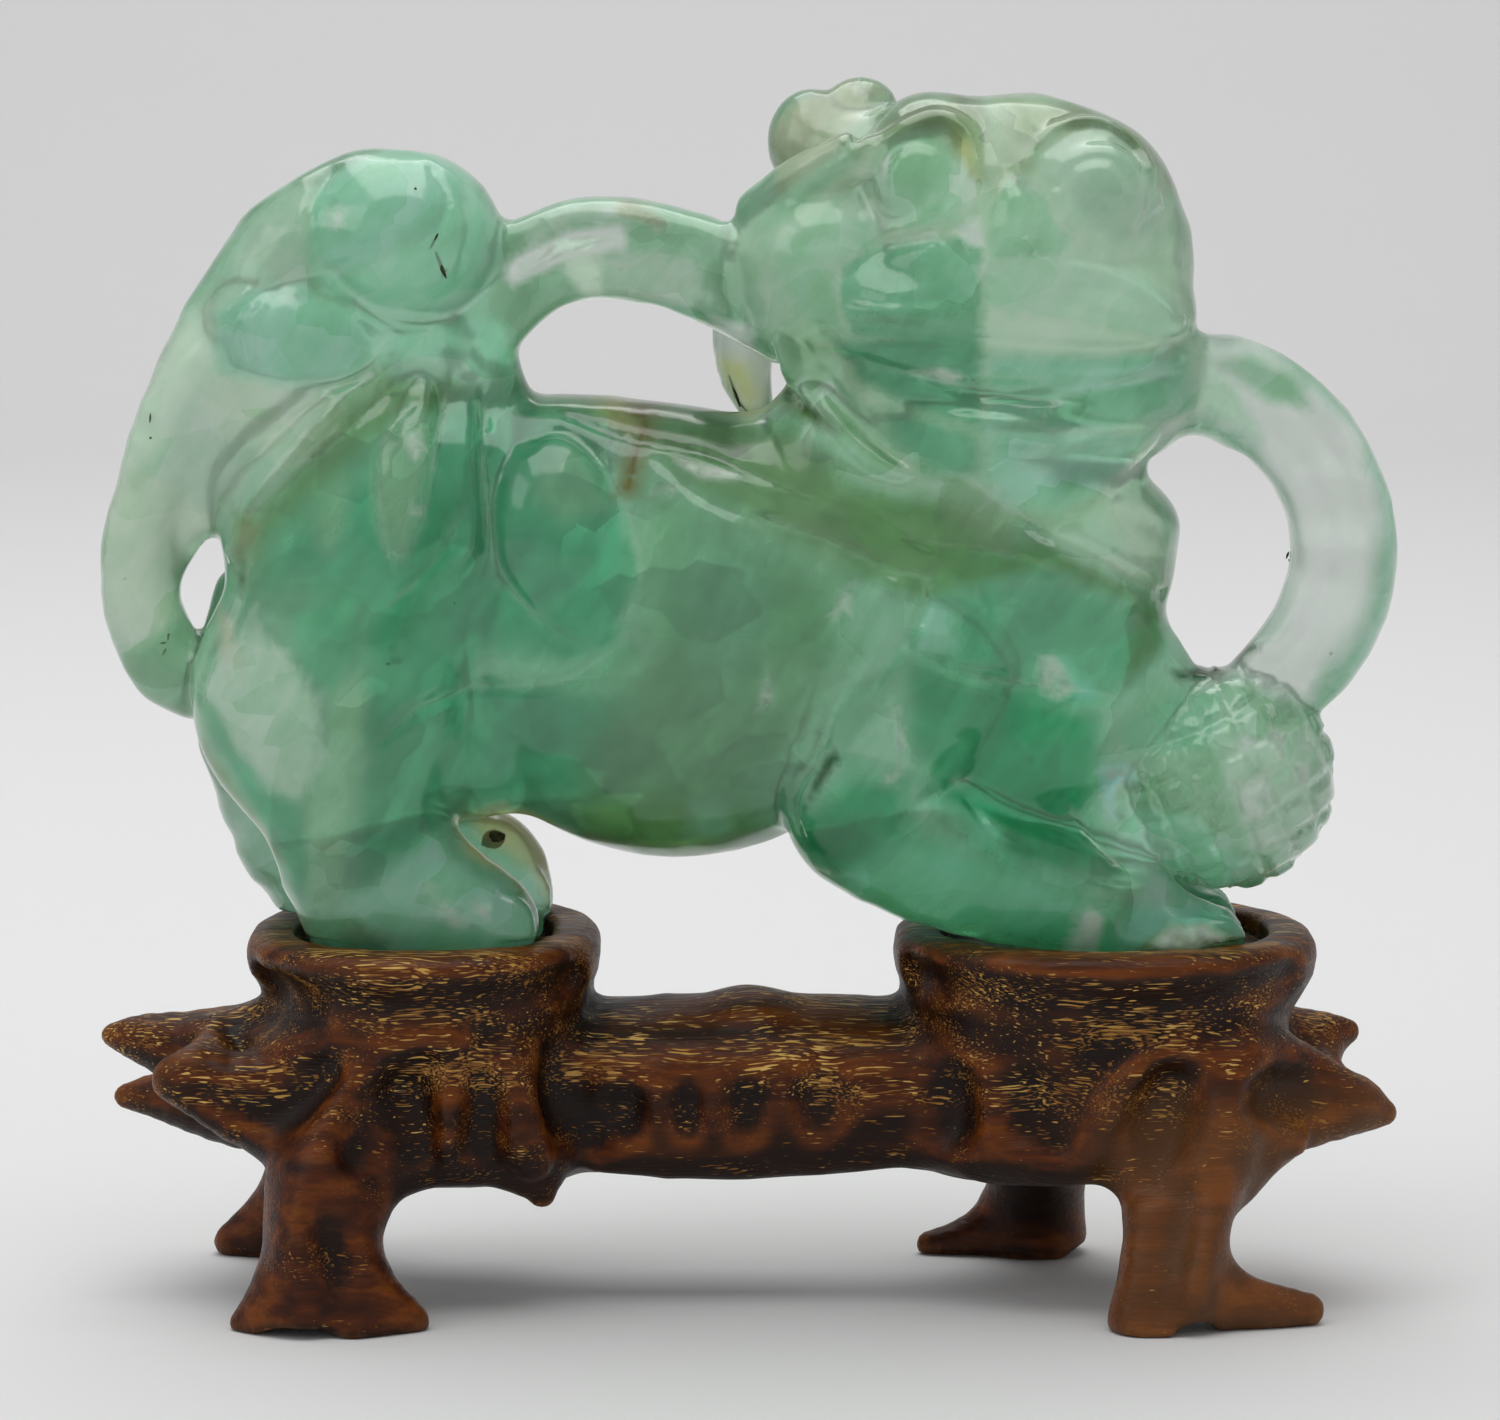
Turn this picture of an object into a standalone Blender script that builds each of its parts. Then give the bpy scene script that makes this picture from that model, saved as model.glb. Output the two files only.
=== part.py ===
"""Foo dog carved from one piece of clear green stone, standing in the two cups of its rootwood stand.

The dog crouches over a brocade ball with its hindquarters raised and its head turned to the viewer. It holds
a ribbon in its mouth: one end arches back to the tail, and the other loops down to the ball.

Metres, +Z up. X runs from the tail to the ball, and the dog looks along -Y. The origin is on the floor under
the middle of the whole piece.
"""

import math

import bmesh
import bpy
from mathutils import Matrix, Vector

MM = 0.001

# Driving size of the figure: its forms are shares of its length, from the tail's edge to the ribbon's
FIGURE_LENGTH = 178.0 * MM
SHARE = FIGURE_LENGTH / 178.0

# Driving sizes of the stand
SEAT_HEIGHT = 48.2 * MM       # floor to the bottom of each cup's recess
SEAT_DEPTH = 3.2 * MM         # recess below the rim
SEAT_GAP = 0.3 * MM           # air under the soles
SEAT_CLEARANCE = 1.2 * MM     # between the soles' outline and the recess wall
RIM_WALL = 6.8 * MM           # width of the rim around the recess
CUP_HEIGHT = 16.0 * MM        # rim to the waist where the cup meets the root
LOG_HEIGHT = 29.3 * MM        # floor to the middle of the branch between the cups
LOG_RADIUS = 12.2 * MM
LOG_BULGE = 1.25              # how much deeper the branch is than it is high
LEG_RADIUS = 7.0 * MM
OVAL_FULLNESS = 2.6           # 2 would make the cups plain ellipses, more makes them squarer

# The soles as carved, in shares of the figure: middle X, half length and half depth
HIND_SOLE = (-44.9, 16.6, 17.8)
FRONT_SOLE = (49.4, 21.4, 17.8)

# Fineness: the finest form that is kept, and the triangles spent on each piece
FIGURE_CELL = 0.9 * MM
STAND_CELL = 1.0 * MM
FIGURE_TRIANGLES = 6000
STAND_TRIANGLES = 3000
SLICE = 0.9                   # spacing of a limb's slices, as a share of its radius


def clear_scene():
    for old in list(bpy.data.objects):
        bpy.data.objects.remove(old, do_unlink=True)


def material(name, colour, roughness, transmission=0.0):
    made = bpy.data.materials.new(name)
    made.use_nodes = True
    shader = made.node_tree.nodes["Principled BSDF"]
    shader.inputs["Base Color"].default_value = (*colour, 1.0)
    shader.inputs["Roughness"].default_value = roughness
    shader.inputs["Metallic"].default_value = 0.0
    shader.inputs["Transmission Weight"].default_value = transmission
    return made


def curve_through(points):
    """Closely spaced points on the smooth curve through the given (x, y, z, radius) ones."""
    points = [Vector(p) for p in points]
    ends = [points[0] * 2 - points[1], *points, points[-1] * 2 - points[-2]]
    path = []
    for before, start, end, after in zip(ends, ends[1:], ends[2:], ends[3:]):
        gap = (end.xyz - start.xyz).length
        steps = max(1, math.ceil(gap / (SLICE * max(0.5 * (start.w + end.w), 1.0))))
        for step in range(steps):
            t = step / steps
            bend = 2 * before - 5 * start + 4 * end - after
            twist = 3 * start - before - 3 * end + after
            path.append(0.5 * (2 * start + (end - before) * t + bend * t**2 + twist * t**3))
    return [*path, points[-1]]


class Block:
    """Forms that overlap, gathered as closed shells, to be fused into one carved solid."""

    def __init__(self, unit, floor=0.0):
        self.unit = unit
        self.floor = floor
        self.corners = []
        self.faces = []
        self.eggs = []
        self.fine_sphere = sphere_mesh(4)
        self.rough_sphere = sphere_mesh(2)[0]

    def _place(self, centre):
        return Vector(centre) * self.unit + Vector((0.0, 0.0, self.floor))

    def _add(self, corners, faces):
        first = len(self.corners)
        self.corners += corners
        self.faces += [[first + i for i in face] for face in faces]

    def ball(self, centre, radii, lean=0.0):
        """An egg. lean turns its top towards +X, in degrees."""
        turn = Matrix.Rotation(math.radians(lean), 4, "Y")
        size = Matrix.Diagonal((*(r * self.unit for r in radii), 1.0))
        where = Matrix.Translation(self._place(centre)) @ turn @ size
        corners, faces = self.fine_sphere
        self._add([where @ c for c in corners], faces)
        self.eggs.append((*centre, *radii, math.radians(lean)))

    def limb(self, points, flat=1.0):
        """A tapering limb through points (x, y, z, radius). flat is its depth in Y as a share of its width."""
        path = curve_through(points)
        self.eggs += [(x, y, z, r, r * flat, r, 0.0) for x, y, z, r in path]
        for near, far in zip(path, path[1:]):
            self._add(*skin_around([
                self._place((x, y, z)) + Vector((v.x, v.y * flat, v.z)) * (r * self.unit)
                for x, y, z, r in (near, far)
                for v in self.rough_sphere
            ]))

    def surface(self, x, z, side):
        """Y of the forms' outermost surface at X and Z, on the near side (-1) or the far side (1)."""
        reached = [0.0]
        for cx, cy, cz, rx, ry, rz, lean in self.eggs:
            along = ((x - cx) * math.cos(lean) - (z - cz) * math.sin(lean)) / rx
            up = ((x - cx) * math.sin(lean) + (z - cz) * math.cos(lean)) / rz
            left = 1.0 - along**2 - up**2
            if left > 0.0:
                reached.append(side * cy + ry * math.sqrt(left))
        return side * max(reached)

    def ridge(self, points, sides=(-1, 1), proud=0.45):
        """A raised line along points (x, z, radius) on the surface. proud is the share of its radius that shows."""
        for side in sides:
            hugging = [
                (x, self.surface(x, z, side) - side * radius * (1.0 - proud), z, radius) for x, z, _, radius in (
                    curve_through([(x, z, 0.0, radius) for x, z, radius in points])
                )
            ]
            self.limb(hugging[::2] + hugging[-1:])

    def strap(self, points, strands=3, flat=1.9):
        """A flat strap of rounded strands side by side, carved with grooves between them."""
        path = curve_through(points)
        for strand in range(strands):
            share = (2 * strand + 1) / strands - 1
            shifted = []
            for i, point in enumerate(path):
                along = (path[min(i + 1, len(path) - 1)] - path[max(i - 1, 0)]).xyz
                across = Vector((along.z, 0.0, -along.x)).normalized() * point.w * share * 0.94
                x, y, z = point.xyz + across
                shifted.append((x, y, z, point.w * 1.24 / strands))
            self.limb(shifted[::2] + shifted[-1:], flat)

    def loft(self, middle, levels, segments=48):
        """A closed stack of ovals (half length, half depth, height) in metres around the X of middle."""
        corners = [
            Vector((middle + x, y, height))
            for half_length, half_depth, height in levels
            for x, y in oval(half_length, half_depth, segments)
        ]
        faces = [list(range(segments))[::-1], list(range(len(corners) - segments, len(corners)))]
        for start in range(0, len(corners) - segments, segments):
            for k in range(segments):
                side = start + (k + 1) % segments
                faces.append([start + k, side, side + segments, start + k + segments])
        self._add(corners, faces)

    def carve(self, name, cell, passes, triangles, finish):
        """Fuses the forms and softens the joints between them, as grinding and polishing do."""
        data = bpy.data.meshes.new(name)
        data.from_pydata(self.corners, [], self.faces)
        data.materials.append(finish)
        solid = bpy.data.objects.new(name, data)
        bpy.context.scene.collection.objects.link(solid)
        fuse = solid.modifiers.new("fuse", "REMESH")
        fuse.mode = "VOXEL"
        fuse.voxel_size = cell
        soften = solid.modifiers.new("soften", "SMOOTH")
        soften.factor = 0.5
        soften.iterations = passes
        bpy.context.view_layer.update()
        fused = solid.evaluated_get(bpy.context.evaluated_depsgraph_get())
        dense = sum(len(face.vertices) - 2 for face in fused.data.polygons)
        thin = solid.modifiers.new("thin", "DECIMATE")
        thin.ratio = min(1.0, triangles / dense)
        return solid


def oval(half_length, half_depth, segments):
    """The outline of a cup, its recess or a sole, seen from above."""
    power = 2.0 / OVAL_FULLNESS
    outline = []
    for k in range(segments):
        c, s = math.cos(2 * math.pi * k / segments), math.sin(2 * math.pi * k / segments)
        outline.append((
            math.copysign(abs(c) ** power, c) * half_length, math.copysign(abs(s) ** power, s) * half_depth,
        ))
    return outline


def mesh_lists(shape):
    """A small mesh's corners and faces as lists."""
    shape.verts.index_update()
    corners = [v.co.copy() for v in shape.verts]
    faces = [[v.index for v in face.verts] for face in shape.faces]
    shape.free()
    return corners, faces


def sphere_mesh(subdivisions):
    shape = bmesh.new()
    bmesh.ops.create_icosphere(shape, subdivisions=subdivisions, radius=1.0)
    return mesh_lists(shape)


def skin_around(points):
    """The skin that would be stretched around the points."""
    shape = bmesh.new()
    made = bmesh.ops.convex_hull(shape, input=[shape.verts.new(p) for p in points])
    inside = {v for v in made["geom_interior"] + made["geom_unused"] if isinstance(v, bmesh.types.BMVert)}
    bmesh.ops.delete(shape, geom=list(inside), context="VERTS")
    bmesh.ops.recalc_face_normals(shape, faces=shape.faces)
    return mesh_lists(shape)


def cut(solid, cutter):
    """Removes the cutter's space from the solid."""
    cutter.hide_render = True
    cutter.display_type = "WIRE"
    tool = solid.modifiers.new(cutter.name, "BOOLEAN")
    tool.operation = "DIFFERENCE"
    tool.solver = "EXACT"
    tool.object = cutter


def new_mesh_object(name, shape):
    data = bpy.data.meshes.new(name)
    bmesh.ops.recalc_face_normals(shape, faces=shape.faces)
    shape.to_mesh(data)
    shape.free()
    made = bpy.data.objects.new(name, data)
    bpy.context.scene.collection.objects.link(made)
    return made


def everything_below(name, height, reach):
    """A box under a level plane, to cut feet flat."""
    shape = bmesh.new()
    depth = reach
    where = Matrix.Translation((0.0, 0.0, height - depth / 2)) @ Matrix.Diagonal((reach * 4, reach * 4, depth, 1.0))
    bmesh.ops.create_cube(shape, size=1.0, matrix=where)
    return new_mesh_object(name, shape)


def oval_prism(name, middle, half_length, half_depth, bottom, top, segments=48):
    """An upright oval block, to cut a recess."""
    shape = bmesh.new()
    base = shape.faces.new([
        shape.verts.new((middle + x, y, bottom)) for x, y in oval(half_length, half_depth, segments)
    ])
    raised = bmesh.ops.extrude_face_region(shape, geom=[base])["geom"]
    lifted = [v for v in raised if isinstance(v, bmesh.types.BMVert)]
    bmesh.ops.translate(shape, verts=lifted, vec=(0.0, 0.0, top - bottom))
    return new_mesh_object(name, shape)


def both_sides(points):
    """A limb's points as they are, and as they are on the far side."""
    return points, [(x, -y, z, radius) for x, y, z, radius in points]


def add_hindquarters(dog):
    """Raised rump, thighs with a flat oval relief on the flank, and the two hind legs."""
    dog.ball((-47, 0, 60), (20, 17, 19))
    for side in (-1, 1):
        dog.ball((-52, side * 6, 57), (20, 12, 22))
        dog.ball((-57, side * 8, 36), (19.5, 12, 20))
        dog.ball((-26, side * 9, 57), (10.5, 9, 15), lean=-8)
    dog.limb([(-56, -10, 30, 13), (-54.5, -10, 18, 11.6), (-52.5, -10, 10, 10.4), (-51, -9.5, 4, 9.4)], flat=0.8)
    dog.ball((-40, 0, 27), (13, 12, 9.6))
    dog.ball((-42, -9.5, 2.6), (13, 8.2, 5.6))
    for toe in (-13.6, -9.4, -5.2):
        dog.ball((-33.5, toe, 3.4), (4.6, 2.5, 4.4))
    dog.limb([(-63, 9.5, 28, 14), (-61, 10.5, 15, 11.4), (-55.4, 10.5, 4, 8.8)], flat=0.75)
    dog.ball((-38.2, 10, 8), (10.6, 7.6, 10.2))
    for toe in (6.0, 9.8, 13.6):
        dog.ball((-31, toe, 4.0), (3.6, 2.4, 5))


def add_body(dog):
    """Deep barrel with a level back, shoulders, neck and chest."""
    dog.ball((-10, 0, 43.5), (34, 20.5, 31))
    dog.limb([(-40, 0, 65, 11.5), (-20, 0, 65.6, 10.8), (-6, 0, 64.2, 10.8), (8, 0, 62, 12)], flat=1.15)
    dog.ball((21, 0, 62), (25, 18, 18))
    dog.ball((7, 0, 71), (11, 14, 11))
    dog.ball((41, -1, 53.8), (17.6, 17, 15.4))
    for side in (-1, 1):
        dog.ball((18.3, side * 7, 43.5), (20.6, 13, 19.5))


def add_forelegs(dog):
    """Both forelegs are folded forward from a low elbow, and the paws lie at the ball's foot."""
    dog.ball((36, 0, 31), (21, 14.5, 17))
    dog.ball((51, 0, 17), (10, 11, 9))
    dog.limb([(44, -1, 44, 12), (50, -1, 37, 11), (56.5, -1, 29, 10)], flat=1.1)
    for leg in both_sides([
        (20, -9.5, 40, 15), (16.6, -10.5, 28, 12.6), (15.8, -10.5, 20.8, 11.3), (25, -10.5, 15.2, 10.6),
        (34.7, -10.5, 11.1, 9.2), (46, -10, 8, 7.8), (54, -9.5, 6, 6.6),
    ]):
        dog.limb(leg, flat=0.85)
    for side in (-1, 1):
        dog.ball((57, side * 9.5, 3.2), (10.2, 7.6, 6))
        for toe in (5.6, 9.6, 13.6):
            dog.ball((64, side * toe, 2.6), (4.2, 2.4, 4.2))


def add_tail(dog):
    """Plume that rises from behind the thigh, curls over at its top and lies on the rump in long locks."""
    dog.limb([
        (-72, 1, 36, 6), (-79.5, 0, 39, 5.8), (-83.4, 0, 47, 5.5), (-83.6, 0, 56, 5.5), (-82.2, 0, 62, 5.9),
        (-78, 0, 73, 7.5), (-70.5, 0, 85, 8.6), (-62, 0, 96, 9.5), (-52, 0, 100.6, 9.4),
    ], flat=1.1)
    dog.ball((-47.4, -1, 98.2), (13.8, 13, 11.9))
    dog.ball((-57, 0, 75), (21.4, 12, 26))
    for side in (-1, 1):
        dog.ball((-62.4, side * 7.5, 85), (11.5, 6, 6.8), lean=20)
    for lock in range(5):
        dog.ridge([
            (-63 + 5.8 * lock, 79 - 1.2 * lock, 1.6), (-66.5 + 6.2 * lock, 67 - 1.6 * lock, 2.8),
            (-70 + 6.8 * lock, 53 - 2.2 * lock, 1.2),
        ])


def add_head(dog):
    """Broad face turned to the viewer: bulging eyes under arched brows, wedge nose, jowls and a wide jaw."""
    dog.ball((36, -1, 94.2), (24.8, 19, 23.6))
    for jowl, width in ((23.5, 15.5), (47.5, 13.4)):
        dog.ball((jowl, -8.5, 89), (width, 12.4, 7))
        dog.ball((jowl, -5, 79), (width, 12, 12))
    dog.ball((36, -7, 73), (22.4, 12, 8))
    dog.ball((35.8, -6, 67.5), (17.9, 11, 9))
    for eye in (24.2, 47.6):
        dog.ball((eye, -14, 106.4), (6.8, 5.4, 6.2))
    for side in (-1, 1):
        dog.ridge([
            (36 + side * 3, 104, 1.8), (36 + side * 7, 112, 2.6), (36 + side * 15, 113.6, 2.8),
            (36 + side * 21, 106, 2.6), (36 + side * 22.6, 96, 2.0),
        ], sides=(-1,), proud=0.6)
    dog.ridge([(35.4, 108, 1.6), (35.3, 101, 2.8), (35.2, 96, 4.0)], sides=(-1,), proud=0.5)
    for nostril in (30.8, 39.8):
        dog.ridge([(nostril - 0.6, 95.4, 2.6), (nostril + 0.6, 95.4, 2.6)], sides=(-1,), proud=0.5)


def add_mane(dog):
    """Curls behind the face, an ear and its tip, a lock below the cheek and one that hangs behind."""
    dog.ball((10.4, 0, 93.5), (13.0, 15.5, 14.5))
    dog.limb([(1.4, -3, 101.6, 3.4), (7, -7, 105.6, 3.8), (14, -10, 109.6, 3.6)])
    dog.ball((8.7, 4, 110.4), (6.3, 6.4, 7.6))
    dog.ball((15.2, 5, 115.2), (5.2, 5, 4.5))
    dog.ball((15, 3, 108), (9, 9, 8))
    dog.limb([(-0.6, 11, 90, 6), (-0.8, 11.6, 80, 4.4), (0.8, 11.6, 74.6, 2.8)])
    dog.ridge([(2, 72.0, 1.6), (20, 66.0, 2.4), (40, 57.8, 2.4), (54, 49.0, 1.6)])
    for row, height in enumerate((106, 94, 82)):
        for curl in range(4):
            dog.ball((13 + 12.5 * curl + 4 * (row % 2), 14.5, height - 2 * abs(curl - 1.5)), (6.8, 6, 6.6))


def add_ribbon(dog):
    """One strap, held in the mouth: it arches back to the tail, and loops forward and down to the ball."""
    dog.strap([
        (-41, -2, 81, 6.0), (-34.4, 0, 89.8, 6.6), (-28, 0, 95, 6.9), (-21.2, 0, 96.3, 6.9), (-14.4, 0, 96, 6.9),
        (-6.2, -1, 93.8, 6.9), (2, -4, 89.4, 6.6), (10.4, -9, 84.2, 5.6), (22, -14.5, 80.4, 5.2), (36, -16, 79, 5.2),
        (50, -12.5, 79, 5.4), (60.5, -6, 78.6, 6.6), (66.5, -2, 77, 7.2), (73.6, 0, 72.6, 7.2),
        (79.4, 0, 64.8, 7.2), (81.7, 0, 55.2, 7.2), (80.2, 0, 46.9, 7.2), (76, 0, 39.9, 7.0), (69.8, 0, 34, 6.2),
    ])
    dog.ridge([(5.4, 83.0, 2.2), (11, 75.4, 3.2), (17.4, 66.8, 2.8), (23.6, 63.6, 1.4)], sides=(-1,))


def add_brocade_ball(dog):
    """Ball covered in a slanting net of small cushions."""
    middle = Vector((65.3, -1.5, 23.8))
    radius = 15.0
    pitch = 5.2
    dog.ball(middle, (radius, radius, radius))
    tilt = Matrix.Rotation(math.radians(25), 3, "Y")
    for side in (-1, 1):
        for column in range(-2, 3):
            for row in range(-2, 3):
                out = Vector((column * pitch, 0.0, row * pitch))
                out.y = side * math.sqrt(max(radius**2 - out.x**2 - out.z**2, 9.0))
                dog.ball(middle + tilt @ out.normalized() * (radius - 1.7), (2.6, 2.6, 2.6))


def foo_dog(finish):
    soles = SEAT_HEIGHT + SEAT_GAP
    dog = Block(SHARE, floor=soles)
    add_hindquarters(dog)
    add_body(dog)
    add_forelegs(dog)
    add_tail(dog)
    add_head(dog)
    add_mane(dog)
    add_ribbon(dog)
    add_brocade_ball(dog)
    solid = dog.carve("foo_dog", FIGURE_CELL, 3, FIGURE_TRIANGLES, finish)
    rim = SEAT_HEIGHT + SEAT_DEPTH
    ground = everything_below("cut_soles", rim + SEAT_GAP, FIGURE_LENGTH)
    for name, (middle, half_length, half_depth) in (("keep_hind_sole", HIND_SOLE), ("keep_front_sole", FRONT_SOLE)):
        size = (middle * SHARE, half_length * SHARE, half_depth * SHARE)
        cut(ground, oval_prism(name, *size, soles, rim + SEAT_DEPTH))
    cut(solid, ground)
    return solid


def cup_sizes(sole):
    """Middle X of a cup, and the half length and half depth of its recess, from the sole that it holds."""
    middle, half_length, half_depth = sole
    return middle * SHARE, half_length * SHARE + SEAT_CLEARANCE, half_depth * SHARE + SEAT_CLEARANCE


def add_cup(root, sole):
    """Oval bowl with a thick rounded rim, drawn in to a waist."""
    middle, half_length, half_depth = cup_sizes(sole)
    rim = SEAT_HEIGHT + SEAT_DEPTH
    levels = []
    # Each level's spread is a share of the rim's width, and its drop a share of the cup's height
    for spread, drop in (
        (0.0, 2.05), (0.45, 1.7), (0.6, 1.2), (0.68, 0.8), (0.92, 0.5), (1.0, 0.22), (0.94, 0.06), (0.8, 0.0),
    ):
        levels.append((half_length + RIM_WALL * spread, half_depth + RIM_WALL * spread, rim - CUP_HEIGHT * drop))
    root.loft(middle, levels)


def spike(root, base, tip, thick):
    """A root's stump, worn to a blunt point, from a place in the root mass to its tip, all in millimetres."""
    base, tip = Vector(base), Vector(tip)
    lift = Vector((0.0, 0.0, -1.2))
    points = [(*base, thick), (*(base.lerp(tip, 0.45) + lift), thick * 0.72), (*(base.lerp(tip, 0.8)), thick * 0.36)]
    root.limb([*points, (*tip, 0.9)])


def rootwood_stand(finish):
    """Two cups on a gnarled branch, with four splayed feet and the stumps of cut roots."""
    root = Block(MM)
    hind = cup_sizes(HIND_SOLE)[0] / MM
    front = cup_sizes(FRONT_SOLE)[0] / MM
    log, thick, leg = LOG_HEIGHT / MM, LOG_RADIUS / MM, LEG_RADIUS / MM
    deep = (HIND_SOLE[2] * SHARE + SEAT_CLEARANCE) / MM + 1.0
    add_cup(root, HIND_SOLE)
    add_cup(root, FRONT_SOLE)
    span = front - hind
    root.limb([
        (hind, 0, log, thick), (hind + 0.25 * span, 0, log - 0.4, thick), (hind + 0.47 * span, 0, log, thick * 1.03),
        (hind + 0.72 * span, 0, log + 0.6, thick * 0.92), (front, 0, log + 0.8, thick * 0.96),
    ], flat=LOG_BULGE)
    wide = deep / (thick + 0.6)
    root.limb([(hind - 10, 0, log, thick - 1), (hind, 0, log, thick + 0.8), (hind + 10, 0, log, thick)], flat=wide)
    root.limb([(front - 13, 0, log, thick), (front, 0, log + 1, thick + 0.8), (front + 13, 0, log + 1, thick)], flat=wide)
    # Feet: near left, near right, far right and far left, each with the toes that it spreads into
    near, far = -deep - 4.5, deep + 3.0
    root.limb([
        (hind - 9, near + 14, log - 2, leg + 4), (hind - 12.4, near + 6, 18, leg + 2), (hind - 13.4, near + 2, 9, leg + 1.2),
        (hind - 13, near, 1, leg + 1.6),
    ], flat=0.85)
    root.limb([(hind - 15, near, 5, 5.6), (hind - 20, near, 1.8, 4.2), (hind - 23.4, near, 0.6, 2.4)])
    root.limb([(hind - 11, near, 6, 5.6), (hind - 5, near - 0.4, 2.6, 4.4), (hind - 1.4, near, 1.0, 3.0)])
    root.limb([
        (front + 15, near + 14, log - 3, leg + 4), (front + 10, near + 7, 18, leg + 1.4), (front + 8.6, near + 3, 10.5, leg),
        (front + 7.2, near, 1, leg - 0.8),
    ], flat=0.9)
    root.limb([(front + 8, near, 4, 4.6), (front + 4.6, near - 0.6, 1.0, 4.4)])
    root.limb([(front + 9, near + 1, 7, 5.2), (front + 18, near + 2, 3.0, 4.4), (front + 26.8, near + 3, 2.0, 2.6)])
    root.limb([
        (front - 6, far - 12, log - 3, 9), (front - 8.2, far - 4, 14, leg + 0.2), (front - 8, far, 5, leg),
        (front - 7.6, far, 0.5, leg + 0.2),
    ])
    root.limb([(front - 10, far, 4.4, 5), (front - 18, far - 0.6, 1.8, 3.4), (front - 23.4, far - 1, 1.4, 2.0)])
    root.limb([
        (hind - 10, far - 12, log - 3, 9), (hind - 17, far - 4, 14, leg - 0.6), (hind - 21, far - 1, 6, leg - 1.6),
        (hind - 23.6, far, 0.5, 4.6),
    ])
    root.limb([(hind - 22, far, 3.6, 4.2), (hind - 29, far - 1, 1.8, 2.6)])
    # Stumps: three at the hind end, three at the front end, one below the branch
    spike(root, (hind - 14, 0, log + 3), (hind - 44.6, 2, 35.6), 9.4)
    spike(root, (hind - 12, 9, log - 4), (hind - 44.0, 12, 24.8), 8.6)
    spike(root, (hind - 8, -11, log - 1), (hind - 35.6, -14, 31.8), 10.4)
    spike(root, (front + 16, 8, log + 3), (front + 35.8, 13, 34.0), 7.6)
    spike(root, (front + 12, -8, log + 2), (front + 39.4, -9, 26.6), 9.4)
    spike(root, (front + 12, -14, log - 2), (front + 25.8, -17, 24.0), 7.4)
    spike(root, (hind + 14, -10, log - 2), (hind + 16.6, -12.6, 15.6), 6.6)
    root.ball((hind + 0.48 * span, -2, log + thick * 0.72), (5.6, 7, 4.2))
    solid = root.carve("rootwood_stand", STAND_CELL, 3, STAND_TRIANGLES, finish)
    cut(solid, everything_below("cut_feet", 0.0, FIGURE_LENGTH))
    for name, sole in (("cut_hind_recess", HIND_SOLE), ("cut_front_recess", FRONT_SOLE)):
        cut(solid, oval_prism(name, *cup_sizes(sole), SEAT_HEIGHT, SEAT_HEIGHT + 6 * SEAT_DEPTH))
    return solid


def centre_on_floor(solids):
    """Shifts everything so that the origin is under the middle of the whole piece."""
    bpy.context.view_layer.update()
    graph = bpy.context.evaluated_depsgraph_get()
    corners = []
    for solid in solids:
        corners += [v.co.copy() for v in solid.evaluated_get(graph).data.vertices]
    shift = [-(min(c[axis] for c in corners) + max(c[axis] for c in corners)) / 2 for axis in (0, 1)]
    for item in bpy.data.objects:
        item.location.x += shift[0]
        item.location.y += shift[1]


def main():
    clear_scene()
    stone = material("green_fluorite", (0.30, 0.62, 0.46), 0.12, transmission=0.85)
    wood = material("carved_rosewood", (0.12, 0.05, 0.025), 0.42)
    centre_on_floor([foo_dog(stone), rootwood_stand(wood)])


main()
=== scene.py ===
"""Foo dog of clear green fluorite, standing in the two cups of its carved rosewood stand."""

import math

import bmesh
import bpy
import numpy as np
import openvdb
from mathutils import Matrix, Vector


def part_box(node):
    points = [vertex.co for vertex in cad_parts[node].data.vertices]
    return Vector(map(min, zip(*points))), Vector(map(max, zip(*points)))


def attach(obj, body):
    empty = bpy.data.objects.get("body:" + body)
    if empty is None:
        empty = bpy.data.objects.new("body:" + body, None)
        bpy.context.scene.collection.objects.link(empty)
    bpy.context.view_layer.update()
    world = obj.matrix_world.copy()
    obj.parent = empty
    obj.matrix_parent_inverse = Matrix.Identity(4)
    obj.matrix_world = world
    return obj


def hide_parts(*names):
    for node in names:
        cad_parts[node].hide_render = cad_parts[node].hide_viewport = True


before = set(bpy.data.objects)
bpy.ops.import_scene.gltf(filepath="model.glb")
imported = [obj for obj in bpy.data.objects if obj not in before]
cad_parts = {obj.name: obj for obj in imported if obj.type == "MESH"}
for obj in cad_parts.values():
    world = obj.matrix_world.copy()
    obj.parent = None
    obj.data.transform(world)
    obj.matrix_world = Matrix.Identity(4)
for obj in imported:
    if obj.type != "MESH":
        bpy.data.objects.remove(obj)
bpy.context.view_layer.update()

# The stand
# One block of rosewood, carved to look like a gnarled root with two oval cups for the figure's feet.
# Chisel and rasp shaped it, then it was stained dark, oiled and rubbed until its edges wore to gold.

MM = 0.001
STAND_PITCH = 0.62        # spacing of the points that the wood is worked out on, in millimetres
STAND_TRIANGLES = 190_000
SEAT_HEIGHT = 48.2
SEAT_DEPTH = 3.2
SEAT_CLEARANCE = 1.2
RIM_WALL = 6.8
OVAL_FULLNESS = 2.6
HIND_SOLE = (-44.9, 16.6, 17.8)      # middle X, half length and half depth
FRONT_SOLE = (49.4, 21.4, 17.8)
LOG_HEIGHT = 29.3
LOG_RADIUS = 12.2


def soft_min(a, b, blend):
    """The lesser of two distances, rounded where they meet, as a rasp leaves an inner corner."""
    near = np.maximum(blend - np.abs(a - b), 0.0) / blend
    return np.minimum(a, b) - near * near * blend * 0.25


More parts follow.
